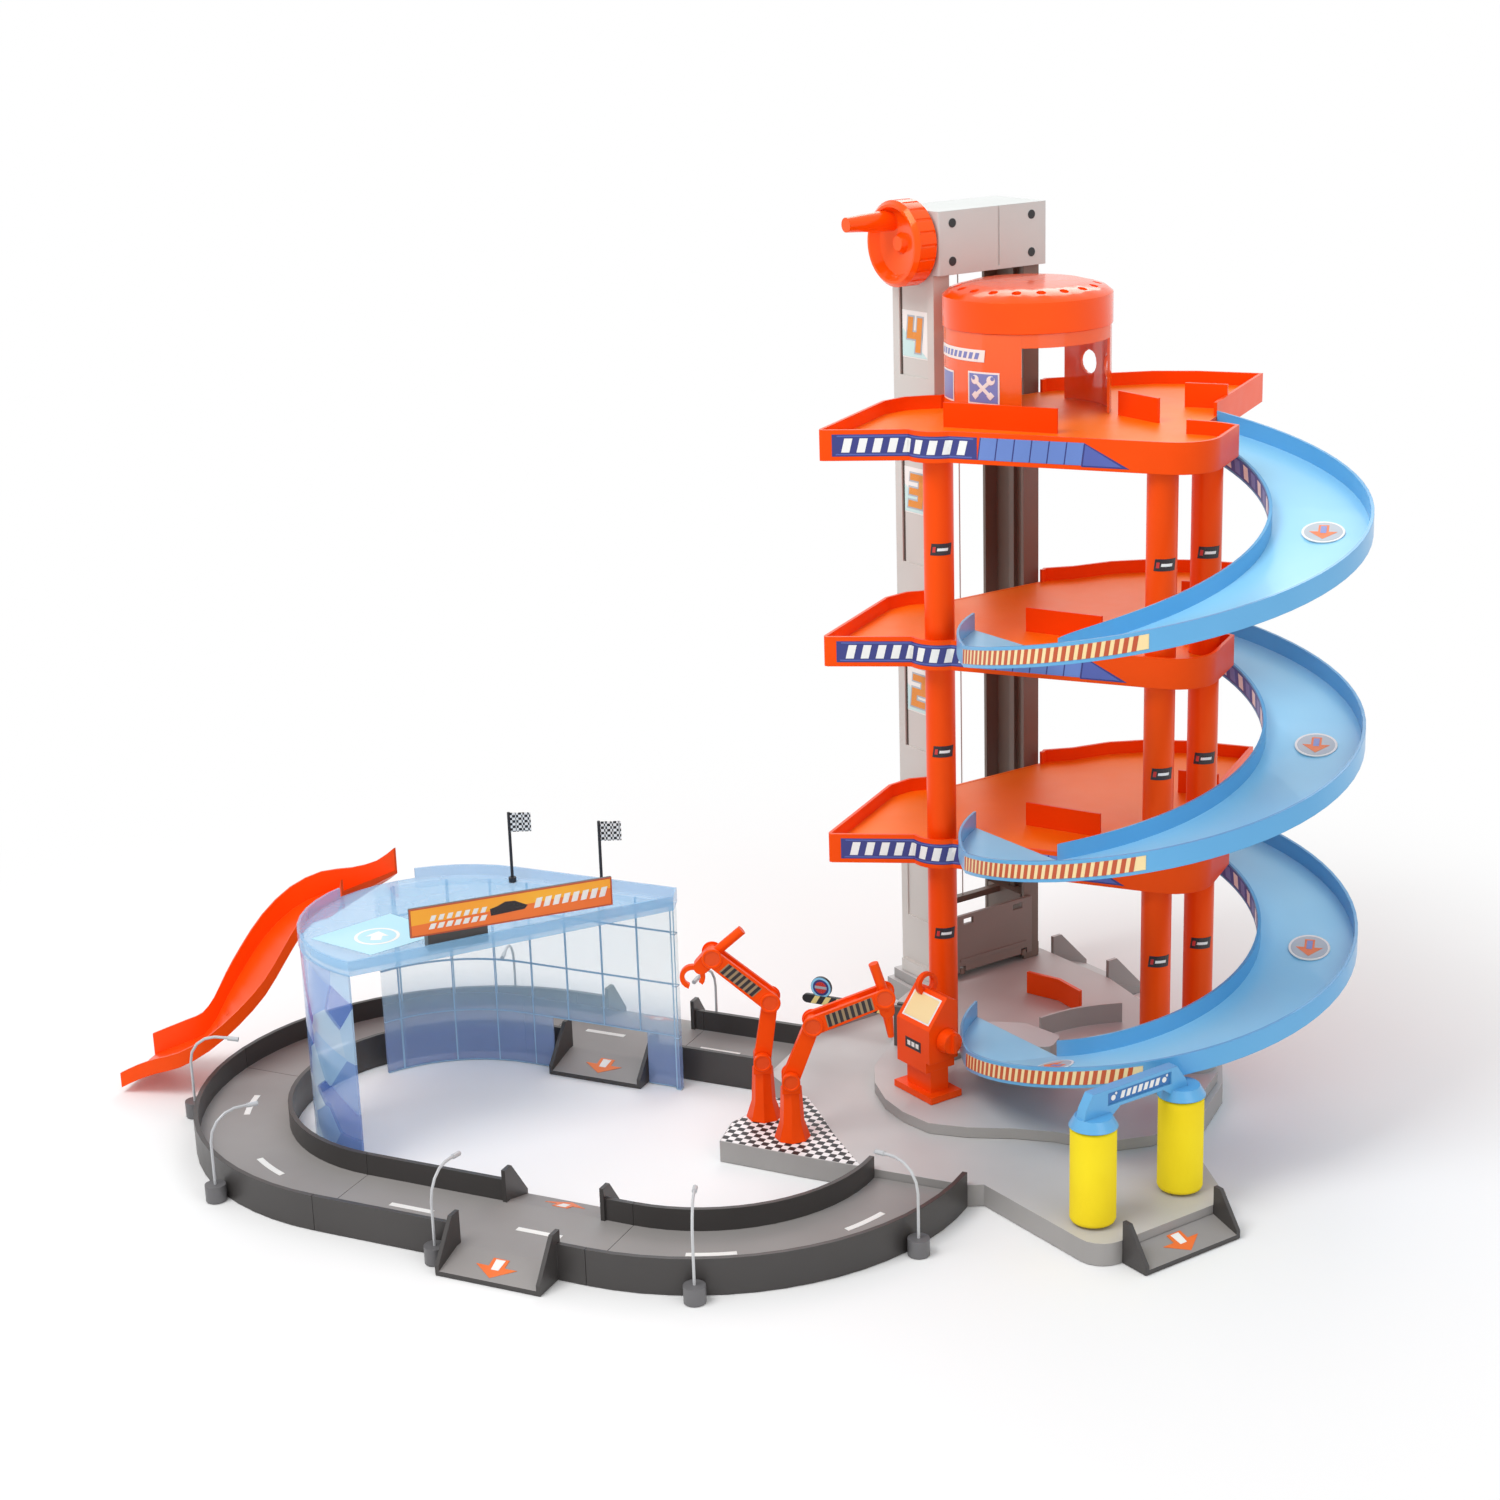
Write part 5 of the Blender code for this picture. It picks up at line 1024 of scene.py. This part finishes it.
def robot_arm(sizes, number, foot, turn, elbow, wrist):
    """A robot's hazard panels on both sides of its upper arm, and its joint covers."""
    ahead, side = heading(turn)
    foot = Vector((*foot, 0))
    reach = Vector(wrist) - Vector(elbow)
    way = reach.normalized()
    along = ahead * way.x + Vector((0, 0, way.y))
    base = foot + ahead * elbow[0] + Vector((0, 0, elbow[1]))
    arm = f"robot_{number}_upper_arm"
    step, half, cheek = sizes.hazard_step, 0.0046, 0.0071
    count = int((reach.length - 0.0190) / step)
    first = (reach.length - count * step) / 2
    for name, facing in (("left", 1), ("right", -1)):
        place = flat_place(base + side * facing * cheek, along, (side * facing).cross(along))
        data = bmesh.new()
        strip(data, place, first, first + count * step, -half, half, STUCK, 1, 0.0012)
        on_body(f"robot_{number}_panel_{name}", data, ("tan",), arm)
        data = bmesh.new()
        strip(data, place, first + step * 0.2, first + step * 0.75, -half, half, PRINT, 1, 0.0012)
        repeat(f"robot_{number}_bars_{name}", arm, data, count, "ink", along * step)
    for label, spot, body, out, radius in (
        ("elbow", elbow, arm, cheek, 0.0074),
        ("wrist", wrist, arm, cheek, 0.0074),
        ("shoulder", SHOULDER, f"robot_{number}_base", 0.0085, 0.0066),
    ):
        at = foot + ahead * spot[0] + Vector((0, 0, spot[1]))
        data = bmesh.new()
        for facing in (1, -1):
            knuckle(data, flat_place(at + side * facing * out, along, (side * facing).cross(along)), radius)
        on_body(f"robot_{number}_knuckle_{label}", data, ("orange", "knuckle_face"), body)


def robot_prints(sizes):
    """The robots' panels and joint covers, and the chequered corner that they stand on."""
    for robot in ROBOTS:
        robot_arm(sizes, *robot)
    corner = (
        (-0.0885, -0.0870), (-0.1072, -0.1500), (-0.1025, -0.1798), (-0.040, -0.1818),
        (0.006, -0.1818), (-0.030, -0.143), (-0.060, -0.106), (-0.074, -0.0905),
    )
    place = flat_place((0, 0, PLATE_TOP), (1, 0, 0), (0, 1, 0))
    sticker("robot_corner_chequer", place, ((corner, STUCK, 0),), ("floor_chequer",))


def console_prints(sizes):
    """The console's cream screen and small label."""
    base = Vector((0.012, -0.066, PLATFORM_TOP + SEAT_GAP))
    low_edge = base + TOWER_AHEAD * -0.013 + Vector((0, 0, 0.056))
    high_edge = base + TOWER_AHEAD * 0.004 + Vector((0, 0, 0.078))
    place = flat_place((low_edge + high_edge) / 2, -TOWER_LEFT, high_edge - low_edge)
    sticker("console_screen", place, (
        (rect(-0.0155, -0.0105, 0.0155, 0.0105), STUCK, 0),
        (rect(-0.0140, -0.0092, 0.0140, 0.0092), PRINT, 1),
    ), ("white", "cream"))
    place = flat_place(base + TOWER_AHEAD * -0.013 + Vector((0, 0, 0.040)), -TOWER_LEFT, (0, 0, 1))
    marks = [(bar(-0.0065 + i * 0.0048, -0.0018, 0.0018, 0.0035, 0), PRINT, 1) for i in range(3)]
    label = (rect(-0.009, -0.004, 0.009, 0.004), STUCK, 0)
    sticker("console_label", place, (label, *marks), ("ink", "white"))
    boom_prints()


def boom_prints():
    """The boom's slanted bars and its round badge, on both sides."""
    ahead, side = heading(BOOM_TURN)
    pivot = Vector((-0.036, 0.006, PLATFORM_TOP + SEAT_GAP + 0.026))
    for name, facing, first in (("near", 1, -0.076), ("far", -1, 0.012)):
        along = -ahead * facing
        data = bmesh.new()
        place = flat_place(pivot + side * facing * 0.0014, along, (0, 0, 1))
        strip(data, place, first, first + 0.0044, -0.0033, 0.0033, STUCK, 1, 0.004)
        repeat(f"boom_bars_{name}", "boom", data, 7, "boom_yellow", along * 0.0092)
        x, y = -0.067 * facing, 0.0105
        sticker(f"boom_badge_{name}", flat_place(pivot + side * facing * 0.0012, along, (0, 0, 1)), (
            (circle(28, 0.0083, (x, y)), STUCK, 0),
            (circle(28, 0.0066, (x, y)), PRINT, 1),
            (circle(24, 0.0048, (x, y)), OVER, 2),
            (rect(x - 0.0050, y - 0.0010, x + 0.0050, y + 0.0012), (0.0003, 0.0004), 3),
        ), ("sky_lane", "navy", "red", "pale_grey"), "boom")


def fittings(sizes):
    """Screws in the winch housing's wells."""
    for name, height in (("low", 0.601), ("high", 0.629)):
        data = bmesh.new()
        place = flat_place((*in_tower(0.012, -0.0062), height), TOWER_AHEAD, (0, 0, 1))
        patch(data, place, circle(20, 0.0034), (0.0001, 0.0021))
        repeat(f"housing_screws_{name}", "garage", data, 2, "steel", TOWER_AHEAD * 0.076)


def bound(name, work):
    """An operator's work, which raises where it can't finish."""
    if not frame["nodes"]:
        raise RuntimeError(f"{name}: no packed part is loaded")
    work(bpy.context.scene.garage_sizes)
    return {"FINISHED"}


def length(name, description, default):
    """A length that the panel's user can change."""
    return bpy.props.FloatProperty(
        name=name, description=description, default=default, min=0.001, unit="LENGTH"
    )


def colour(name, description, kind):
    """A finish's colour that the panel's user can change."""
    usual = linear(MOULDED[kind][1])[:3]
    return bpy.props.FloatVectorProperty(
        name=name, description=description, default=usual, min=0, max=1, size=3, subtype="COLOR"
    )


class GaragePrintSizes(bpy.types.PropertyGroup):
    """Sizes of the printed stickers"""

    dash_long: length("Dash length", "Length of a lane dash", 0.034)
    dash_wide: length("Dash width", "Width of a lane dash", 0.0046)
    hazard_step: length("Hazard bar step", "From one hazard bar on a robot to the next", 0.0044)
    block_wide: length("Block width", "Width of a blue block on the deck fronts", 0.0118)
    bar_turn: bpy.props.FloatProperty(
        name="Ramp bar step",
        description="Angle from one ramp bar to the next",
        default=math.radians(2.44),
        subtype="ANGLE",
    )


class GarageColours(bpy.types.PropertyGroup):
    """Colours of the main plastics"""

    orange: colour("Orange", "Kerbs, columns, robots and the other orange mouldings", "orange")
    tray: colour("Deck", "Driving surface of the decks", "tray")
    sky: colour("Blue", "Ramp walls and the wash arch", "sky")
    sky_lane: colour("Ramp lane", "Driving surface of the ramps", "sky_lane")
    warm: colour("Tower", "The tower's light post", "warm")
    foam: colour("Foam", "The wash's foam rollers", "foam")


class GARAGE_OT_stage(bpy.types.Operator):
    """Adds the floor, the lamps and the camera"""

    bl_idname = "garage.stage"
    bl_label = "Stage"

    def execute(self, context):
        stage()
        return {"FINISHED"}


class GARAGE_OT_finishes(bpy.types.Operator):
    """Gives every carried-over solid its finish"""

    bl_idname = "garage.finishes"
    bl_label = "Finishes"

    def execute(self, context):
        dress_nodes()
        return {"FINISHED"}


class GARAGE_OT_deck_stickers(bpy.types.Operator):
    """Prints the bands on the deck fronts"""

    bl_idname = "garage.deck_stickers"
    bl_label = "Deck stickers"

    def execute(self, context):
        return bound(self.bl_label, deck_stickers)


class GARAGE_OT_ramp_stickers(bpy.types.Operator):
    """Prints the ramps' bars, bands and arrow discs"""

    bl_idname = "garage.ramp_stickers"
    bl_label = "Ramp stickers"

    def execute(self, context):
        return bound(self.bl_label, ramp_stickers)


class GARAGE_OT_road_marks(bpy.types.Operator):
    """Prints the lane dashes and exit arrows"""

    bl_idname = "garage.road_marks"
    bl_label = "Road marks"

    def execute(self, context):
        return bound(self.bl_label, road_marks)


class GARAGE_OT_tower_stickers(bpy.types.Operator):
    """Adds the storey numbers and the booth's pictograms"""

    bl_idname = "garage.tower_stickers"
    bl_label = "Tower stickers"

    def execute(self, context):
        return bound(self.bl_label, tower_stickers)


class GARAGE_OT_column_stickers(bpy.types.Operator):
    """Adds the badges on the columns"""

    bl_idname = "garage.column_stickers"
    bl_label = "Column stickers"

    def execute(self, context):
        return bound(self.bl_label, column_stickers)


class GARAGE_OT_showroom_prints(bpy.types.Operator):
    """Prints the showroom's sign and roof"""

    bl_idname = "garage.showroom_prints"
    bl_label = "Showroom prints"

    def execute(self, context):
        return bound(self.bl_label, showroom_prints)


class GARAGE_OT_wash_prints(bpy.types.Operator):
    """Prints the wash arch"""

    bl_idname = "garage.wash_prints"
    bl_label = "Wash prints"

    def execute(self, context):
        return bound(self.bl_label, wash_prints)


class GARAGE_OT_robot_prints(bpy.types.Operator):
    """Adds the robots' bars and covers and the chequered corner"""

    bl_idname = "garage.robot_prints"
    bl_label = "Robot prints"

    def execute(self, context):
        return bound(self.bl_label, robot_prints)


class GARAGE_OT_console_prints(bpy.types.Operator):
    """Adds the console's screen and label and the boom's bars"""

    bl_idname = "garage.console_prints"
    bl_label = "Console and boom prints"

    def execute(self, context):
        return bound(self.bl_label, console_prints)


class GARAGE_OT_fittings(bpy.types.Operator):
    """Adds the screws"""

    bl_idname = "garage.fittings"
    bl_label = "Fittings"

    def execute(self, context):
        return bound(self.bl_label, fittings)


STEPS = (
    GARAGE_OT_stage,
    GARAGE_OT_finishes,
    GARAGE_OT_deck_stickers,
    GARAGE_OT_ramp_stickers,
    GARAGE_OT_road_marks,
    GARAGE_OT_tower_stickers,
    GARAGE_OT_column_stickers,
    GARAGE_OT_showroom_prints,
    GARAGE_OT_wash_prints,
    GARAGE_OT_robot_prints,
    GARAGE_OT_console_prints,
    GARAGE_OT_fittings,
)


class GARAGE_PT_panel(bpy.types.Panel):
    """Lists the garage's steps in the sidebar"""

    bl_idname = "GARAGE_PT_panel"
    bl_label = "Parking garage"
    bl_space_type = "VIEW_3D"
    bl_region_type = "UI"
    bl_category = "Garage"

    def draw(self, context):
        for group in (context.scene.garage_sizes, context.scene.garage_colours):
            for name in group.__annotations__:
                self.layout.prop(group, name)
        for step in STEPS:
            self.layout.operator(step.bl_idname)


CLASSES = (GaragePrintSizes, GarageColours, *STEPS, GARAGE_PT_panel)


def register():
    for item in CLASSES:
        bpy.utils.register_class(item)
    bpy.types.Scene.garage_sizes = bpy.props.PointerProperty(type=GaragePrintSizes)
    bpy.types.Scene.garage_colours = bpy.props.PointerProperty(type=GarageColours)


def unregister():
    del bpy.types.Scene.garage_colours
    del bpy.types.Scene.garage_sizes
    for item in reversed(CLASSES):
        bpy.utils.unregister_class(item)


def main():
    register()
    for step in STEPS:
        group, name = step.bl_idname.split(".")
        getattr(getattr(bpy.ops, group), name)()


if __name__ == "__main__":
    main()
